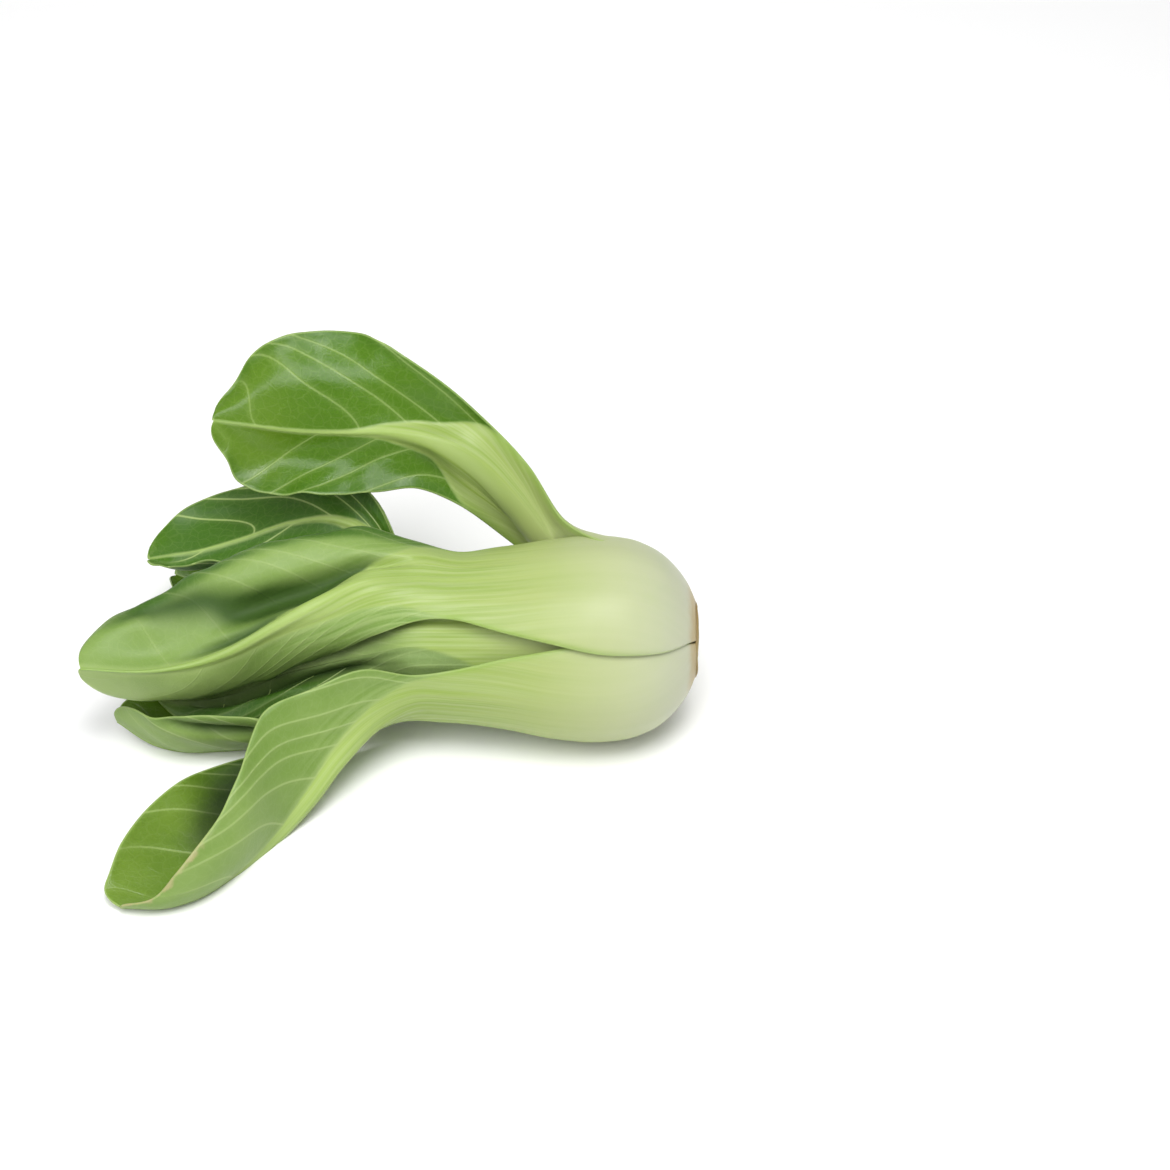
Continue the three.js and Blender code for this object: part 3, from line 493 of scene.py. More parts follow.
def vein_growth(leaf, phase, u):
    """Growth at which the vein of this phase passes share u."""
    low, high = np.full_like(u, 0.6), np.full_like(u, 2.4)
    for _ in range(HALVINGS):
        middle = (low + high) / 2
        short = vein_phase(leaf, middle, u) < phase
        low, high = np.where(short, middle, low), np.where(short, high, middle)
    return (low + high) / 2


def crease(fold, t, u):
    """Share of a crease's depth and of its painted shade: depth, centre and spread in u, first and last
    growth, drift.
    """
    _, centre, spread, first, last, drift = fold
    line = centre + drift * (t - first)
    along = smooth(first, first + 0.15, t) * (1 - smooth(last - 0.25, last, t))
    return np.exp(-((u - line) / spread) ** 2) * along


def band(keys, t, u):
    """Share of a band that wanders over the blade: growth, centre and spread in u, strength."""
    table = np.array(keys)
    centre, spread, strength = (np.interp(t, table[:, 0], table[:, k]) for k in (1, 2, 3))
    return strength * np.exp(-((u - centre) / spread) ** 2)


def gully_and_shade(leaf, t, u):
    """Where the blade sinks in a long curved trough, which also gets painted shade."""
    return band(leaf["gully_and_shade"][1], t, u) if "gully_and_shade" in leaf else 0 * u


def stalk_ridges(leaf, t, u):
    """Fine ridges along the stalk and the midrib."""
    seed, a = leaf["seed"], np.abs(u)
    from_middle = a * half_width(leaf, t, u)
    strand = (np.cos(1.9 * from_middle + 0.9 * waver(t, u, 3, 0, seed) + np.sign(u))
              + 0.8 * np.cos(1.1 * from_middle + 1.2 * waver(t, u, 2, 0, 2 * seed)))
    along = smooth(0.62, 1.0, t) * (1 - smooth(1.35, 1.7, t))
    return RIDGE * strand * along * np.clip(1 - (a / rib_edge(leaf, t, u)) ** 4, 0, 1)


def puffs(leaf, t, u):
    """How far the blade swells inwards between its side veins."""
    a, width = np.abs(u), half_width(leaf, t, u)
    pillow = 0.5 - 0.5 * np.cos(2 * np.pi * vein_phase(leaf, t, u))
    beside_rib = blade_share(t) * smooth(0, 3.5, (a - rib_edge(leaf, t, u)) * width)
    inside_margin = smooth(0, 6, (1 - a) * width) * (1 - smooth(1.8, 1.95, t))
    return by_side(leaf, "puff", (PUFF, PUFF), u) * pillow * beside_rib * inside_margin


def swells(leaf, t, u):
    """Frill along the margin and slow swells of the blade."""
    seed, a, narrow = leaf["seed"], np.abs(u), tip_round(t)
    frill = waver(t, u, 31, 0, 1.7 * seed) + 0.6 * waver(t, u, 53, 1, 2.3 * seed)
    frill = FRILL * frill * a ** 5 * np.sqrt(narrow) * smooth(1.1, 1.35, t)
    slow = a * narrow * waver(t, u, 10, 4, seed) * waver(t, u, 7, -3, 0)
    return frill + BLADE_SWELL * blade_share(t) * slow


def lift_of(leaf, t, u):
    """How far the sheet moves outwards from its smooth surface."""
    scale = RINGS[leaf["ring"]]["flesh"]
    lift = scale * (swells(leaf, t, u) - puffs(leaf, t, u))
    for fold in leaf.get("folds", ()):
        lift = lift - fold[0] * crease(fold, t, u)
    lift = lift - leaf.get("gully_and_shade", (0,))[0] * gully_and_shade(leaf, t, u)
    seed = leaf["seed"]
    stalk_swell = waver(t, u, 0, 9, seed) * smooth(0.05, 0.3, t) * waver(t, u, 3, 2, seed)
    lift = lift + STALK_SWELL * (1 - blade_share(t)) * stalk_swell
    curl = smooth(by_side(leaf, "roll_from", (0.82, 0.82), u), 1, np.abs(u)) ** 1.5
    return lift - by_side(leaf, "roll", (0, 0), u) * curl * smooth(1.02, 1.5, t) * tip_round(t)


def leaf_faces(leaf, t, u):
    """Outer and inner face of the leaf with their fine forms."""
    a, begun = np.abs(u), blade_share(t)
    edge = rib_edge(leaf, t, u)
    scale = RINGS[leaf["ring"]]["flesh"]
    flesh = np.maximum(flesh_at(t)[..., 0] * scale, LEAST_FLESH)
    rim = STALK_EDGE * (1 - begun) + BLADE_THICK * begun
    power = 0.7 * (1 - begun) + 1.6 * begun

    def hump(reach):
        """Rounded section of the stalk or the midrib."""
        return (flesh - rim) * np.clip(1 - (a / reach) ** 2, 0, 1) ** power

    share = rib_share(t)[..., 0]
    out = share * hump(edge) + scale * stalk_ridges(leaf, t, u)
    inn = rim + (1 - share) * (1 - 0.75 * smooth(1.05, 1.4, t)) * hump(edge * rib_inside(t))
    point, normal, lift = leaf_point(leaf, t, u), leaf_normal(leaf, t, u), lift_of(leaf, t, u)
    return point + normal * (lift + out)[..., None], point + normal * (lift - inn)[..., None]


def metres(points):
    """Millimetres of the leaves' own frame as metres of the head's."""
    return (points + PLACE) * 0.001


def put_in_scene(name, data):
    made = bpy.data.objects.new(name, data)
    bpy.context.scene.collection.objects.link(made)
    return made


def mesh_piece(name, points, faces, materials):
    mesh = bpy.data.meshes.new(name)
    mesh.from_pydata(points.tolist(), [], faces)
    mesh.validate()
    mesh.shade_smooth()
    for material in materials:
        mesh.materials.append(material)
    return put_in_scene(name, mesh)


def give(mesh, name, *values):
    """Stores a number, or three, for each point of the mesh."""
    if len(values) == 1:
        layer = mesh.attributes.new(name, "FLOAT", "POINT")
        layer.data.foreach_set("value", np.asarray(values[0], np.float32))
    else:
        layer = mesh.attributes.new(name, "FLOAT_VECTOR", "POINT")
        layer.data.foreach_set("vector", np.stack(values, 1).astype(np.float32).ravel())


def leaf_grid(ring):
    """Rows of growth and columns of share, closer together near the tip and the midrib."""
    low, high = ring["rows"]
    rows = np.concatenate([
        np.linspace(0, 1, low, endpoint=False),
        1 + np.sin(np.linspace(0, np.pi / 2, high)),
    ])
    v = np.linspace(-1, 1, ring["cols"] + 1)
    return rows, v * (0.5 + 0.5 * np.abs(v))


def rim_point(outer, inner, i, j):
    """Middle of the sheet's edge, moved out along the side margins so that the rim is round."""
    middle = (outer[i, j] + inner[i, j]) / 2
    last = outer.shape[1] - 1
    if i == 0 or j not in (0, last):
        return middle
    inward = outer[i, 1 if j == 0 else last - 1]
    thick = np.linalg.norm(outer[i, j] - inner[i, j])
    return middle + unit(outer[i, j] - inward) * thick * RIM_ROUND


def shell_faces(index, border):
    """Faces of the outer side, the inner side and the rim that joins them."""
    a, b = index[:-1, :-1].ravel(), index[:-1, 1:].ravel()
    c, d = index[1:, 1:].ravel(), index[1:, :-1].ravel()
    faces = np.stack([a, b, c, d], 1).tolist()
    faces += (np.stack([a, d, c, b], 1) + index.size).tolist()
    count = len(border)
    for k in range(count):
        after = (k + 1) % count
        p, q = int(index[border[k]]), int(index[border[after]])
        r, s = 2 * index.size + k, 2 * index.size + after
        faces += [[q, p, r, s], [s, r, p + index.size, q + index.size]]
    return faces


def leaf_piece(name, leaf, material):
    """One closed shell: outer face, inner face and a rounded rim."""
    rows, cols = leaf_grid(RINGS[leaf["ring"]])
    t, u = np.meshgrid(rows, cols, indexing="ij")
    outer, inner = leaf_faces(leaf, t, u)
    n, m = t.shape
    border = [(0, j) for j in range(m - 1)] + [(i, m - 1) for i in range(n - 1)]
    border += [(n - 1, j) for j in range(m - 1, 0, -1)] + [(i, 0) for i in range(n - 1, 0, -1)]
    rim = np.array([rim_point(outer, inner, i, j) for i, j in border])
    points = np.concatenate([outer.reshape(-1, 3), inner.reshape(-1, 3), rim])
    points[:, 2] = np.maximum(points[:, 2], FLOOR)

    index = np.arange(n * m).reshape(n, m)
    piece = mesh_piece(name, metres(points), shell_faces(index, border), [material])
    steps = np.diff(leaf_point(leaf, rows, np.zeros_like(rows)), axis=0)
    growth_mm = np.concatenate([[0], np.cumsum(np.linalg.norm(steps, axis=1))])
    along = np.repeat(growth_mm[:, None], m, 1)
    mark_leaf(piece.data, leaf, t, u, outer, along, [index[cell] for cell in border])
    return piece


def vein_gap(phase, outer):
    """Millimetres from one side vein to the next."""
    slopes = [
        np.gradient(phase, axis=k)
        / np.maximum(1e-6, np.linalg.norm(np.gradient(outer, axis=k), axis=-1))
        for k in (0, 1)
    ]
    return 1 / np.maximum(0.02, np.hypot(*slopes))


def mark_leaf(mesh, leaf, t, u, outer, along, on_rim):
    """Gives the mesh what its skin reads: distances in millimetres, shares and strengths, with painted
    shade and painted light among them.
    """

    def shell(values, inner=None):
        """Values on the outer face, the inner face and the rim."""
        flat = np.ravel(values)
        return np.concatenate([flat, flat if inner is None else np.ravel(inner), flat[on_rim]])

    a, width, edge = np.abs(u), half_width(leaf, t, u), rib_edge(leaf, t, u)
    phase = vein_phase(leaf, t, u)
    beyond_rib = shell((a - edge) * width, (a - edge * rib_inside(t)) * width)
    from_margin = np.minimum((1 - a) * width, (along[-1, 0] - along) * 0.8)
    inside = np.concatenate([np.zeros(u.size), np.ones(u.size), np.full(len(on_rim), 0.5)])
    # Yellowing towards the tip is the blade's own colour; on side b of leaf_01 it is painted light.
    yellow = leaf["tone"] + by_side(leaf, "paler", (0, 0), u) * smooth(1.5, 1.75, t)
    # Painted shade in folds and troughs, and on the inner face also in hollows.
    fold = painted_crease_shade(leaf, t, u)
    painted_hollow_shade = np.maximum(fold, band(leaf["painted_hollow_shade"], t, u)) if "painted_hollow_shade" in leaf else fold
    combed = by_side(leaf, "combed", (0.3, 0.3), u)
    veined = np.full_like(u, leaf.get("veined", 1))
    give(mesh, "place", shell(u * width), shell(along), shell(t))
    give(mesh, "veins", shell(phase), shell(vein_gap(phase, outer)), beyond_rib)
    give(mesh, "margin", inside, shell(from_margin), shell(yellow))
    give(mesh, "marks", shell(dryness(leaf, t, u)), shell(green_wing(leaf, t, u)), shell(fold, painted_hollow_shade))
    give(mesh, "habit", shell(combed, 0.2 * combed), shell(rim_green_and_shade(leaf, t, u)), shell(veined))


def dryness(leaf, t, u):
    """Where the margin has dried to tan."""
    first, last, side = leaf.get("dried", (3, 3, 0))
    return smooth(first, first + 0.08, t) * (1 - smooth(last - 0.08, last, t)) * (u * side > 0)


def rim_green_and_shade(leaf, t, u):
    """Deeper green along the margin, from a share of the half width outwards; partly the blade's own
    colour and partly painted shade, over the whole blade where the share starts below 0.
    """
    first = by_side(leaf, "rim_from", (0.8, 0.8), u)
    strength = by_side(leaf, "rim_green_and_shade", (0.3, 0.3), u)
    return strength * smooth(first, first + 0.16, np.abs(u)) * (1 - smooth(1.8, 1.97, t))


def green_wing(leaf, t, u):
    """Where the blade runs down a stalk's margin as a green wing, or greens its midrib."""
    side, low, high = leaf.get("winged", (0, 1, 1))
    limit = low + (high - low) * smooth(0.6, 1.05, t)
    wing_share = smooth(limit, limit + 0.16, u * side) * smooth(0.3, 0.55, t)
    return np.maximum(wing_share, leaf.get("green_rib", 0) * smooth(0.92, 1.12, t))


def painted_crease_shade(leaf, t, u):
    """Painted shade where the blade folds in on itself and along its trough."""
    share = sum((crease(fold, t, u) for fold in leaf.get("folds", ())), 0 * u)
    return np.clip(share + gully_and_shade(leaf, t, u), 0, 1)


# Materials

FLOAT = "NodeSocketFloat"
SKIN_LEVEL = 0.72  # how bright display colours are in the bright studio
SCATTER_DEPTH = 0.0015  # metres, as is the next
BUMP_HEIGHT = 0.001

# Patterns in millimetres: patches and grain by size, fibres by spacing and length.
WIDE_PATCH, SMALL_PATCH, GRAIN = 26.0, 4.0, 0.9
STRAND, THREAD, FAN = (3.6, 110.0), (1.1, 60.0), (1.5, 80.0)
VEIN_WIDTH, NET_CELL = 0.5, 3.4

# Roughness of a blade's outer and inner face, of a stalk, and where a blade is dull in its folds.
OUTER_ROUGH, INNER_ROUGH, STALK_ROUGH, FOLD_ROUGH = 0.44, 0.26, 0.46, 0.7

# Display colours of a blade, on its outer face and on its inner face.
GREEN = ((120, 152, 68), (76, 122, 10))
YELLOW_GREEN = ((172, 198, 116), (122, 154, 48))
DARK_PATCH = ((106, 146, 46), (60, 104, 8))
LIGHT_PATCH = ((170, 194, 122), (116, 156, 36))
# Deeper green of a rim, also painted shade over whole blades that lie in shade.
DEEP_GREEN_AND_SHADE = ((62, 108, 18), (66, 112, 12))
BESIDE_RIB = ((108, 150, 44), (74, 118, 16))
PALE_VEIN = ((190, 210, 138), (190, 214, 130))
# Painted shade in folds, troughs and hollows.
PAINTED_FOLD_SHADE = ((42, 78, 10), (18, 40, 4))
VEIN_LIGHT, VEIN_DEEP = (172, 198, 116), (152, 184, 94)
THIN_MARGIN = (180, 204, 124)
DRIED = (204, 184, 140)

# A stalk's colours from the butt to the tip, by share of the whole growth.
STALK_COLOURS = [
    (0.00, (216, 217, 192)), (0.08, (208, 214, 180)), (0.18, (197, 206, 155)),
    (0.30, (182, 197, 122)), (0.42, (168, 190, 98)), (0.52, (163, 188, 90)),
    (0.66, (178, 204, 108)), (0.85, (166, 196, 98)), (1.00, (146, 182, 84)),
]
GREEN_STRAND = (134, 168, 62)
PALE_THREAD = (224, 234, 188)
STALK_PATCH = (164, 192, 96)
STALK_HEM = (146, 182, 70)
STALK_END = (196, 172, 112)

# The cut face's colours from its middle to its rim.
CUT_RADIUS = 14.0
CUT_COLOURS = [
    (0.0, (206, 202, 158)), (0.4, (214, 210, 168)), (0.5, (186, 176, 122)),
    (0.56, (208, 200, 152)), (0.8, (196, 180, 126)), (1.0, (158, 132, 80)),
]
CUT_STAIN = (150, 126, 78)


def tone(colour):
    """A display colour as the shader's own light values."""
    values = [c / 255 for c in colour]
    light = [c / 12.92 if c <= 0.04045 else ((c + 0.055) / 1.055) ** 2.4 for c in values]
    return tuple(SKIN_LEVEL * c for c in light) + (1.0,)


def grey(level):
    return (level, level, level, 1)


class Board:
    """Adds nodes to a tree and joins them."""

    def __init__(self, tree):
        self.tree = tree

    def put(self, socket, value):
        if isinstance(value, bpy.types.NodeSocket):
            self.tree.links.new(value, socket)
        elif value is not None:
            socket.default_value = value

    def node(self, kind, inputs=None, **settings):
        made = self.tree.nodes.new(kind)
        for key, value in settings.items():
            setattr(made, key, value)
        for key, value in (inputs or {}).items():
            self.put(made.inputs[key], value)
        return made

    def math(self, operation, a, b=None, c=None, clamp=False):
        made = self.node("ShaderNodeMath", operation=operation, use_clamp=clamp)
        for socket, value in zip(made.inputs, (a, b, c)):
            self.put(socket, value)
        return made.outputs[0]

    def times(self, a, b):
        return self.math("MULTIPLY", a, b)

    def times_plus(self, a, b, c):
        return self.math("MULTIPLY_ADD", a, b, c)

    def step(self, value, low, high, start=0.0, end=1.0):
        """Smooth step of a value from low to high."""
        made = self.node("ShaderNodeMapRange", interpolation_type="SMOOTHSTEP", clamp=True)
        for socket, given in zip(made.inputs, (value, low, high, start, end)):
            self.put(socket, given)
        return made.outputs[0]

    def mix(self, share, a, b):
        made = self.node("ShaderNodeMix", data_type="RGBA")
        for number, value in ((0, share), (6, a), (7, b)):
            self.put(made.inputs[number], value)
        return made.outputs[2]

    def vector(self, x, y, z):
        return self.node("ShaderNodeCombineXYZ", {"X": x, "Y": y, "Z": z}).outputs[0]

    def add(self, a, b):
        return self.node("ShaderNodeVectorMath", {0: a, 1: b}, operation="ADD").outputs[0]

    def split(self, name):
        """The three numbers that a mesh carries under one name."""
        attribute = self.node("ShaderNodeAttribute", attribute_type="GEOMETRY", attribute_name=name)
        return self.node("ShaderNodeSeparateXYZ", {0: attribute.outputs["Vector"]}).outputs

    def ramp(self, value, stops):
        made = self.node("ShaderNodeValToRGB", {"Fac": value})
        elements = made.color_ramp.elements
        while len(elements) < len(stops):
            elements.new(0.5)
        for element, (place, colour) in zip(elements, stops):
            element.position = place
            element.color = tone(colour)
        return made.outputs["Color"]

    def noise(self, vector, scale, detail, roughness):
        return self.node("ShaderNodeTexNoise", {
            "Vector": vector, "Scale": scale, "Detail": detail, "Roughness": roughness,
        }).outputs["Fac"]

    def cracks(self, vector, scale):
        """Distance to the edges of cells."""
        return self.node("ShaderNodeTexVoronoi", {"Vector": vector, "Scale": scale},
                         feature="DISTANCE_TO_EDGE", voronoi_dimensions="2D").outputs["Distance"]

    def bump(self, height):
        made = self.node("ShaderNodeBump", {"Strength": 1.0, "Distance": BUMP_HEIGHT, "Height": height})
        return made.outputs["Normal"]

    def use(self, group, **inputs):
        made = self.node("ShaderNodeGroup")
        made.node_tree = group
        for key, value in inputs.items():
            self.put(made.inputs[key], value)
        return made.outputs


def shader_group(name, inputs, outputs):
    """An empty effect with number sockets: inputs by their usual value, outputs by name."""
    tree = bpy.data.node_groups.new(name, "ShaderNodeTree")
    for title, value in inputs.items():
        tree.interface.new_socket(title, in_out="INPUT", socket_type=FLOAT).default_value = value
    for title in outputs:
        tree.interface.new_socket(title, in_out="OUTPUT", socket_type=FLOAT)
    board = Board(tree)
    return tree, board, board.node("NodeGroupInput").outputs, board.node("NodeGroupOutput").inputs


def cloud_group():
    """Soft uneven patches from -1 to 1, by the size of a patch in millimetres."""
    tree, b, given, out = shader_group("soft_patches", {"Size": 8.0, "Shift": 0.0}, ["Patches"])
    place = b.add(b.node("ShaderNodeTexCoord").outputs["Object"], b.vector(given["Shift"], 0.0, 0.0))
    value = b.noise(place, b.math("DIVIDE", 1000.0, given["Size"]), 3.0, 0.55)
    b.put(out["Patches"], b.times_plus(value, 2.0, -1.0))
    return tree


def fibre_group():
    """Long fibres under the skin, running the way the leaf grows."""
    tree, b, given, out = shader_group("long_fibres", {
        "Across": 0.0, "Along": 0.0, "Spacing": 2.0, "Length": 60.0,
    }, ["Fibres"])
    x = b.math("DIVIDE", given["Across"], given["Spacing"])
    y = b.math("DIVIDE", given["Along"], given["Length"])
    b.put(out["Fibres"], b.step(b.noise(b.vector(x, y, 0.0), 1.0, 2.0, 0.6), 0.3, 0.72))
    return tree


def net_group():
    """Side veins by their phase, and the fine net between them."""
    tree, b, given, out = shader_group("vein_net", {
        "Phase": 0.0, "Gap": 8.0, "Across": 0.0, "Along": 0.0, "Width": 0.5, "Cell": 3.0,
    }, ["Veins", "Net", "Near"])
    off = b.math("ABSOLUTE", b.math("SUBTRACT", given["Phase"], b.math("ROUND", given["Phase"])))
    distance = b.times(off, given["Gap"])
    core, halo = b.times(given["Width"], 0.3), b.times(given["Width"], 5.0)
    b.put(out["Veins"], b.step(distance, core, given["Width"], 1.0, 0.0))
    b.put(out["Near"], b.step(distance, 0.0, halo, 1.0, 0.0))
    x = b.math("DIVIDE", given["Across"], given["Cell"])
    y = b.math("DIVIDE", given["Along"], given["Cell"])
    place = b.vector(x, y, 0.0)
    bent = b.node("ShaderNodeTexNoise", {"Vector": place, "Scale": 0.9, "Detail": 1.0}).outputs["Color"]
    push = b.node("ShaderNodeVectorMath", {0: bent, "Scale": 0.9}, operation="SCALE").outputs[0]
    place = b.add(place, push)
    coarse = b.step(b.cracks(place, 1.0), 0.02, 0.11, 1.0, 0.0)
    fine = b.times(b.step(b.cracks(place, 2.6), 0.02, 0.14, 1.0, 0.0), 0.45)
    b.put(out["Net"], b.math("MAXIMUM", coarse, fine))
    return tree


def new_material(name):
    material = bpy.data.materials.new(name)
    material.use_nodes = True
    material.node_tree.nodes.clear()
    board = Board(material.node_tree)
    shader = board.node("ShaderNodeBsdfPrincipled")
    board.put(board.node("ShaderNodeOutputMaterial").inputs["Surface"], shader.outputs["BSDF"])
    return material, board, shader.inputs


patches = cloud_group()
fibres = fibre_group()
vein_net = net_group()


def patch_of(b, size, shift):
    return b.use(patches, Size=size, Shift=shift)["Patches"]


def fibre_of(b, across, along, spacing, length):
    return b.use(fibres, Across=across, Along=along, Spacing=spacing, Length=length)["Fibres"]


def leaf_values(b):
    """What mark_leaf gave the mesh, and the patterns that both colour and relief use."""
    v = SimpleNamespace()
    v.across, v.along, v.growth = b.split("place")
    v.phase, v.gap, v.rib = b.split("veins")
    v.inside, v.edge, v.yellow = b.split("margin")
    v.dry, v.winged, v.folded = b.split("marks")
    v.combed, v.deep_rim, v.veined = b.split("habit")
    v.wide = patch_of(b, WIDE_PATCH, 0.0)
    v.small = patch_of(b, SMALL_PATCH, 0.3)
    v.strands = fibre_of(b, v.across, v.along, *STRAND)
    v.threads = fibre_of(b, v.across, v.along, *THREAD)
    v.fan = fibre_of(b, b.times_plus(v.along, -0.16, v.rib), v.along, *FAN)
    near_rib = b.times(b.step(v.rib, 3.0, 16.0, 1.0, 0.0), b.step(v.growth, 1.15, 1.65, 1.0, 0.0))
    v.fan_share = b.times(near_rib, v.combed)
    v.upper = b.step(v.growth, 0.36, 0.95)
    v.net = b.use(vein_net, Phase=v.phase, Gap=v.gap, Across=v.across, Along=v.along,
                  Width=VEIN_WIDTH, Cell=NET_CELL)
    flesh = b.step(b.times_plus(v.small, 0.5, v.rib), -0.6, 0.9, 1.0, 0.0)
    v.flesh = b.times(flesh, b.math("SUBTRACT", 1.0, v.winged))
    return v


def stalk_colour(b, v):
    """Cream at the butt to pale green, with strands along the growth."""
    stalk = b.ramp(b.times(v.growth, 0.5), STALK_COLOURS)
    stalk = b.mix(b.times(v.strands, b.times_plus(v.upper, 0.46, 0.04)), stalk, tone(GREEN_STRAND))
    stalk = b.mix(b.times(v.threads, b.times(v.upper, 0.22)), stalk, tone(PALE_THREAD))
    stalk = b.mix(b.step(v.wide, 0.0, 0.7, 0.0, 0.2), stalk, tone(STALK_PATCH))
    hem = b.times(b.step(v.edge, 0.0, 2.6, 0.5, 0.0), b.step(v.growth, 0.1, 0.5))
    return b.mix(hem, stalk, tone(STALK_HEM))


def blade_colour(b, v):
    """Green blade with pale veins, deeper green towards its rim, partly painted shade, and painted
    shade in its folds.
    """

    def by_face(pair):
        return b.mix(v.inside, tone(pair[0]), tone(pair[1]))

    outer, inner = (b.mix(v.yellow, tone(g), tone(y)) for g, y in zip(GREEN, YELLOW_GREEN))
    blade = b.mix(v.inside, outer, inner)
    pale = by_face(PALE_VEIN)
    veins = b.times(b.times(v.net["Veins"], v.veined), b.step(v.growth, 1.78, 1.9, 0.4, 0.0))
    beside_rib = b.step(v.rib, 0.0, b.times_plus(v.inside, -1.8, 3.0), 0.35, 0.0)
    for share, colour in (
        (b.step(v.wide, -0.5, 0.6, 0.0, 0.4), by_face(DARK_PATCH)),
        (b.step(v.small, 0.0, 0.8, 0.0, 0.15), by_face(LIGHT_PATCH)),
        # deeper green of the rim, partly the blade's own colour and partly painted shade
        (v.deep_rim, by_face(DEEP_GREEN_AND_SHADE)),
        (b.times(v.fan_share, 0.45), by_face(BESIDE_RIB)),
        (b.times(v.fan, b.times(v.fan_share, 0.5)), pale),
        (b.times(v.net["Net"], 0.06), pale),
        (b.times(v.net["Near"], 0.08), pale),
        (veins, pale),
        (beside_rib, pale),
        # painted shade in folds, troughs and hollows
        (b.times(v.folded, 0.9), by_face(PAINTED_FOLD_SHADE)),
        (b.step(v.edge, 0.15, 0.5, 0.45, 0.0), tone(THIN_MARGIN)),
    ):
        blade = b.mix(share, blade, colour)
    return blade


def leaf_relief(b, v):
    """Height of the strands and threads of a stalk, and of the veins and puffs of a blade."""
    on_stalk = b.times(v.flesh, v.upper)
    strands = b.times(v.strands, b.times(on_stalk, 0.14))
    height = b.times_plus(v.threads, b.times(on_stalk, 0.02), strands)
    blade = b.times_plus(v.net["Net"], 0.015, b.times(v.net["Veins"], 0.06))
    blade = b.times_plus(v.fan, b.times(v.fan_share, 0.1), blade)
    blade = b.times(b.times_plus(v.small, 0.07, blade), b.math("SUBTRACT", 1.0, v.flesh))
    height = b.times_plus(blade, b.times_plus(v.inside, -2.0, 1.0), height)
    return b.times_plus(patch_of(b, GRAIN, 0.7), 0.012, height)


def scatter(b, skin, weight, spread):
    """Light that goes a little way into the leaf."""
    b.put(skin["Subsurface Weight"], weight)
    b.put(skin["Subsurface Radius"], spread)
    b.put(skin["Subsurface Scale"], SCATTER_DEPTH)


def leaf_skin():
    """Pale juicy stalk running into a green blade with pale veins and a thin pale margin."""
    material, b, skin = new_material("leaf_skin")
    v = leaf_values(b)
    colour = b.mix(v.flesh, blade_colour(b, v), stalk_colour(b, v))
    brown = b.times(v.dry, b.step(b.times_plus(v.small, 2.6, v.edge), -0.3, 1.4, 1.0, 0.0))
    colour = b.mix(b.times(brown, 0.6), colour, tone(DRIED))
    cut = b.step(b.times_plus(v.small, 0.02, v.growth), 0.025, 0.08, 1.0, 0.0)
    colour = b.mix(b.times(cut, 0.85), colour, tone(STALK_END))
    b.put(skin["Base Color"], colour)

    rough = b.mix(v.inside, grey(OUTER_ROUGH), grey(INNER_ROUGH))
    rough = b.mix(v.flesh, rough, grey(STALK_ROUGH))
    dull = b.times(b.math("MAXIMUM", v.folded, b.times(v.deep_rim, 0.6)), 0.8)
    rough = b.mix(dull, rough, grey(FOLD_ROUGH))
    b.put(skin["Roughness"], b.math("MULTIPLY_ADD", v.small, 0.05, rough, clamp=True))
    b.put(skin["Normal"], b.bump(leaf_relief(b, v)))
    b.put(skin["Coat Weight"], b.times(v.flesh, 0.14))
    b.put(skin["Coat Roughness"], 0.36)
    b.put(skin["Specular IOR Level"], 0.28)
    scatter(b, skin, 0.15, (0.8, 1.0, 0.3))
    return material


def vein_skin():
    """Raised side veins, paler than the blade."""
    material, b, skin = new_material("vein_skin")
    small = patch_of(b, 5.0, 0.1)
    b.put(skin["Base Color"], b.mix(b.step(small, -0.5, 0.7), tone(VEIN_LIGHT), tone(VEIN_DEEP)))
    b.put(skin["Roughness"], b.step(small, -1.0, 1.0, 0.34, 0.44))
    scatter(b, skin, 0.25, (0.9, 1.0, 0.35))
    return material


def cut_butt():
    """Cut stem, cream inside and tan where it has dried."""
    material, b, skin = new_material("cut_butt")
    place = b.node("ShaderNodeTexCoord").outputs["Object"]
    _, y, z = b.node("ShaderNodeSeparateXYZ", {0: place}).outputs
    centre = metres(np.array([0, 0, AXIS_Z]))
    dy = b.math("SUBTRACT", y, float(centre[1]))
    dz = b.math("SUBTRACT", z, float(centre[2]))
    radius = b.times(b.math("SQRT", b.math("ADD", b.times(dy, dy), b.times(dz, dz))), 1000.0)
    small = patch_of(b, 2.2, 0.0)
    reach = b.times_plus(patch_of(b, 7.0, 0.5), 1.6, radius)
    colour = b.ramp(b.math("DIVIDE", reach, CUT_RADIUS), CUT_COLOURS)
    b.put(skin["Base Color"], b.mix(b.step(small, 0.1, 0.8, 0.0, 0.45), colour, tone(CUT_STAIN)))
    b.put(skin["Roughness"], b.step(small, -1.0, 1.0, 0.6, 0.8))
    height = b.times_plus(patch_of(b, 0.8, 0.2), 0.12, b.times(small, 0.1))
    b.put(skin["Normal"], b.bump(height))
    return material


skin_leaf = leaf_skin()
skin_vein = vein_skin()
skin_butt = cut_butt()

# Leaves

for number, (name, leaf) in enumerate(LEAVES.items()):
    leaf.update({**RINGS[leaf["ring"]]["usual"], **leaf})
    leaf["seed"] = number * 1.7
    leaf["rail"] = spline(free_keys(leaf))
    piece = leaf_piece(name, leaf, skin_leaf)
    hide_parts(name + "_stalk", name + "_blade")
    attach(piece, "root")

# Raised veins

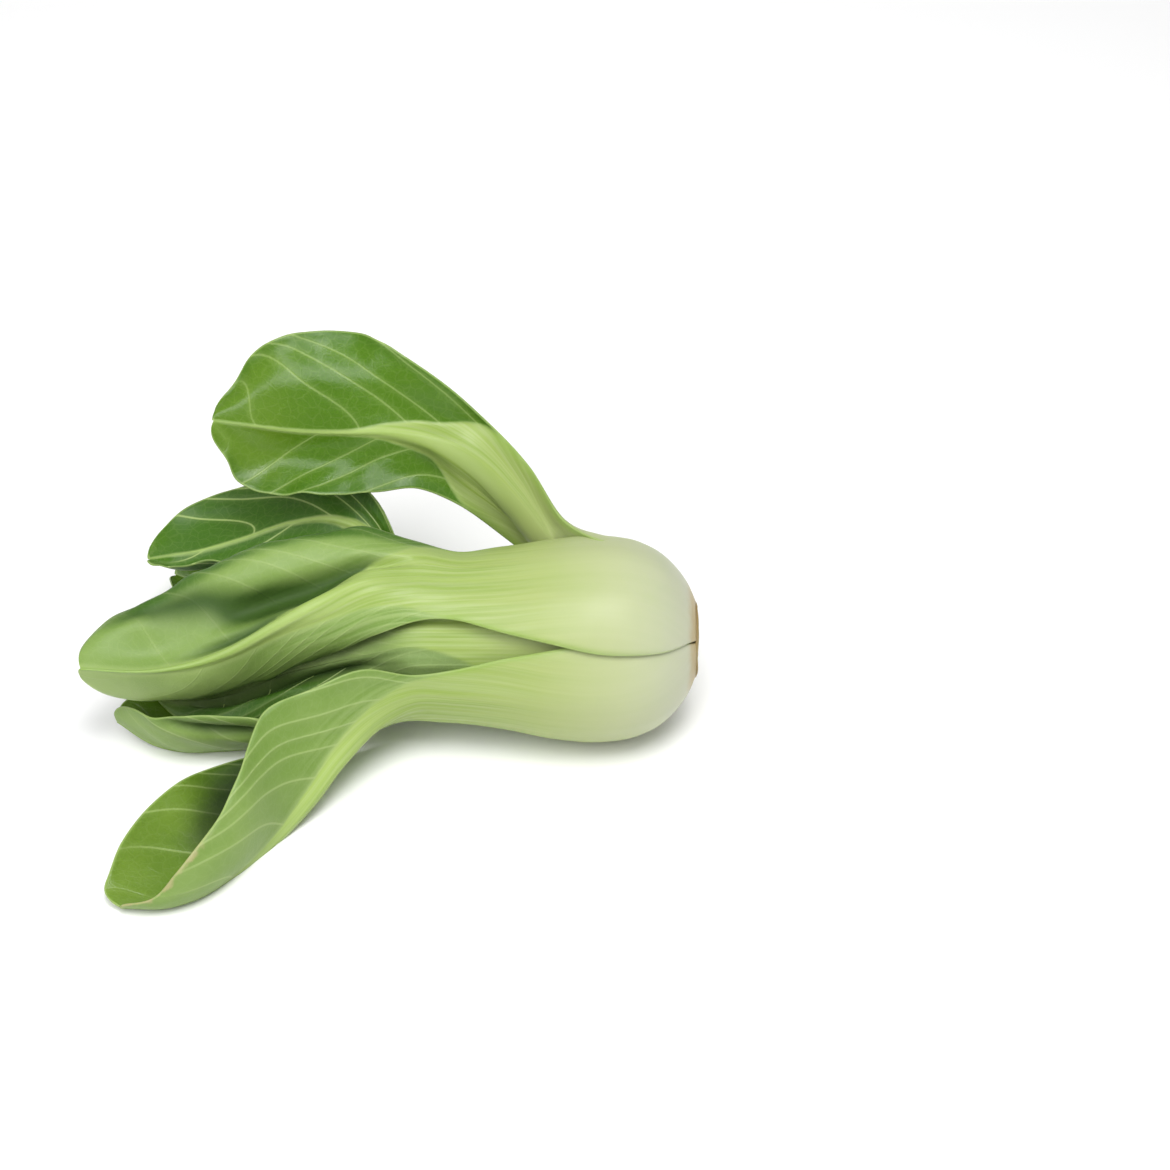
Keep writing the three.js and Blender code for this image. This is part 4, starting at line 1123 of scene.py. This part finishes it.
VEIN_SIZES = {
    "Radius": 0.00035, "Tip share": 0.6, "Point spacing": 0.0014, "Sides": 6, "Material": skin_vein,
}
VEIN_NUMBERS = range(-2, 8)  # from 0 at the waist towards the tip
VEIN_POINTS = 44
LEAST_POINTS = 8
VEIN_CLEAR = 0.3  # height of a vein's middle over the lowest leaf face
VEIN_REGION = (0.96, 1.88)  # growth between which veins stand out

# Forks of a side vein, ahead of it and behind it: how far over towards the next vein, share u
# where it parts and how much that varies, turn and shift of that, share u at its end, size.
FORKS = [(0.5, 0.45, 0.07, 3, 0, 0.93, 0.6), (-0.42, 0.62, 0.06, 2, math.pi / 2, 0.95, 0.5)]


def vein_tree():
    """Turns lines with a size into tapering tubes."""
    tree = bpy.data.node_groups.new("raised_veins", "GeometryNodeTree")
    for title, kind in (("Geometry", "Geometry"), ("Radius", "Float"), ("Tip share", "Float"),
                        ("Point spacing", "Float"), ("Sides", "Int"), ("Material", "Material")):
        tree.interface.new_socket(title, in_out="INPUT", socket_type="NodeSocket" + kind)
    tree.interface.new_socket("Geometry", in_out="OUTPUT", socket_type="NodeSocketGeometry")
    b = Board(tree)
    given = b.node("NodeGroupInput").outputs

    def shape(kind, inputs=None, **settings):
        return b.node("GeometryNode" + kind, inputs, **settings).outputs

    curve = shape("MeshToCurve", {"Mesh": given["Geometry"]})["Curve"]
    spacing = given["Point spacing"]
    even = shape("ResampleCurve", {"Curve": curve, "Length": spacing}, mode="LENGTH")["Curve"]
    size = shape("InputNamedAttribute", {"Name": "size"}, data_type="FLOAT")["Attribute"]
    taper = b.node("ShaderNodeMapRange", {
        "Value": shape("SplineParameter")["Factor"], "To Min": 1.0, "To Max": given["Tip share"],
    }).outputs["Result"]
    radius = b.times(b.times(taper, size), given["Radius"])
    ring = shape("CurvePrimitiveCircle", {"Resolution": given["Sides"], "Radius": 1.0})["Curve"]
    tubes = shape("CurveToMesh", {
        "Curve": even, "Profile Curve": ring, "Scale": radius, "Fill Caps": True,
    })["Mesh"]
    soft = shape("SetShadeSmooth", {"Geometry": tubes})["Geometry"]
    real = shape("RealizeInstances", {"Geometry": soft})["Geometry"]
    done = shape("SetMaterial", {"Geometry": real, "Material": given["Material"]})["Geometry"]
    b.put(b.node("NodeGroupOutput").inputs["Geometry"], done)
    return tree


def run_tree(piece, tree, values):
    """Gives the piece the tree's result as its own plain mesh."""
    modifier = piece.modifiers.new(tree.name, "NODES")
    modifier.node_group = tree
    for item in tree.interface.items_tree:
        if item.in_out == "INPUT" and item.name in values:
            modifier[item.identifier] = values[item.name]
    bpy.context.view_layer.update()
    made = bpy.data.meshes.new_from_object(piece.evaluated_get(bpy.context.evaluated_depsgraph_get()))
    made.name = piece.name
    piece.modifiers.clear()
    piece.data = made


def vein_lines(leaf):
    """Side veins and their forks through the middle of the blade: points, edges, sizes."""
    points, edges, sizes = [], [], []

    def add_line(phase, over, low, high, sign, size):
        share = np.linspace(low, high, VEIN_POINTS)
        u = share * sign
        t = vein_growth(leaf, phase + over * smooth(low, 0.95, share), u)
        good = (t > VEIN_REGION[0]) & (t < VEIN_REGION[1]) & (share > 0.8 * rib_edge(leaf, t, u))
        if good.sum() < LEAST_POINTS:
            return
        t, u = t[good], u[good]
        outer, inner = leaf_faces(leaf, t, u)
        middle = (outer + inner) / 2
        middle[:, 2] = np.maximum(middle[:, 2], FLOOR + VEIN_CLEAR)
        first = len(points)
        points.extend(metres(middle))
        edges.extend([first + k, first + k + 1] for k in range(len(t) - 1))
        sizes.extend([size] * len(t))

    for sign, raised in zip((1, -1), leaf.get("raised", (1, 1))):
        if not raised:
            continue
        for k in VEIN_NUMBERS:
            size = raised * (1.0 - 0.06 * abs(k))
            add_line(k, 0.0, 0.04, 0.96, sign, size)
            if k > 0:
                for over, start, vary, turns, shift, end, share in FORKS:
                    low = start + vary * math.sin(turns * k + sign + shift)
                    add_line(k, over, low, end, sign, size * share)
    return points, edges, sizes


vein_maker = vein_tree()
for name, leaf in LEAVES.items():
    points, edges, sizes = vein_lines(leaf)
    mesh = bpy.data.meshes.new(name + "_veins")
    mesh.from_pydata(points, edges, [])
    give(mesh, "size", sizes)
    piece = put_in_scene(name + "_veins", mesh)
    run_tree(piece, vein_maker, VEIN_SIZES)
    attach(piece, "root")

# Cut butt

# Half section of the stem from the middle of its cut face round to its inner end: place along
# the head, radius.
STEM_LINE = [
    (0.25, 0.0), (0.2, 2.0), (0.05, 4.5), (0.15, 7.0), (0.05, 9.0), (0.15, 11.0), (0.05, 12.4),
    (-0.2, 13.1), (-0.6, 13.3), (-0.95, 13.1), (-0.9, 9.4), (-3.2, 9.3), (-5.3, 9.0), (-5.5, 6.0),
    (-9.3, 5.6), (-9.5, 3.2), (-12.6, 3.0), (-12.8, 1.6), (-13.2, 0.0),
]
SIDES = 72


def butt_piece():
    """Turned stem with an uneven cut face."""
    line = np.array(STEM_LINE)
    turn = np.arange(SIDES) / SIDES * 2 * np.pi
    points, faces = [[line[0, 0], 0, AXIS_Z]], []
    for x, radius in line[1:-1]:
        uneven = 1 + 0.02 * np.sin(3 * turn + radius) + 0.012 * np.sin(7 * turn + 2)
        rise = 0.18 * np.sin(4 * turn + radius) * (x > -1)
        points += np.stack([x + rise * min(1, radius / 5), -np.sin(turn) * radius * uneven,
                            AXIS_Z + np.cos(turn) * radius * uneven], 1).tolist()
    points.append([line[-1, 0], 0, AXIS_Z])
    rings = len(line) - 2
    last = 1 + (rings - 1) * SIDES
    for s in range(SIDES):
        n = (s + 1) % SIDES
        faces.append([0, 1 + s, 1 + n])
        for a in range(1, last, SIDES):
            b = a + SIDES
            faces.append([a + s, b + s, b + n, a + n])
        faces.append([len(points) - 1, last + n, last + s])
    return mesh_piece("stem_core_cut", metres(np.array(points)), faces, [skin_butt])


butt = butt_piece()
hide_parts("stem_core")
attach(butt, "root")

# Floor, light and camera, in metres but for the camera's two places.

FLOOR_REACH = 4.0
FLOOR_SHADE = 0.93
SKY_LEVEL = 0.47
# Soft lights: place, target, size, power.
LIGHTS = {
    "key": ((0.16, -0.38, 1.06), (0, 0, 0.03), 0.5, 8.8),
    "side": ((-0.36, -0.7, 0.9), (-0.04, 0, 0.05), 0.6, 6.5),
    "back": ((0, 0.9, 0.9), (0, 0.9, 0), 1.0, 2.6),
}
LENS = 85
FILM_WIDTH = 36
CAMERA_PLACE = (-38.569, -739.821, 636.329)
CAMERA_AIM = (-38.569, 10.827, 49.858)


def look_along(piece, place, sight):
    piece.location = place
    piece.rotation_euler = sight.to_track_quat("-Z", "Y").to_euler()


floor_material, b, plain = new_material("pale_floor")
b.put(plain["Base Color"], grey(FLOOR_SHADE))
b.put(plain["Roughness"], 0.9)
b.put(plain["Specular IOR Level"], 0.1)
corners = np.array([(-1, -1, 0), (1, -1, 0), (1, 1, 0), (-1, 1, 0)]) * FLOOR_REACH
mesh_piece("floor", corners, [(0, 1, 2, 3)], [floor_material])

world = bpy.data.worlds.new("studio")
bpy.context.scene.world = world
world.use_nodes = True
sky = world.node_tree.nodes["Background"].inputs
sky["Color"].default_value = grey(1)
sky["Strength"].default_value = SKY_LEVEL

for name, (place, target, size, power) in LIGHTS.items():
    light = bpy.data.lights.new(name, "AREA")
    light.shape = "SQUARE"
    light.size = size
    light.energy = power
    look_along(put_in_scene(name, light), place, Vector(target) - Vector(place))

camera_data = bpy.data.cameras.new("camera")
camera_data.lens = LENS
camera_data.sensor_width = FILM_WIDTH
camera = put_in_scene("camera", camera_data)
eye, aim = metres(np.array([CAMERA_PLACE, CAMERA_AIM]))
look_along(camera, eye, Vector(aim - eye))
bpy.context.scene.camera = camera
bpy.context.scene.view_settings.view_transform = "Standard"
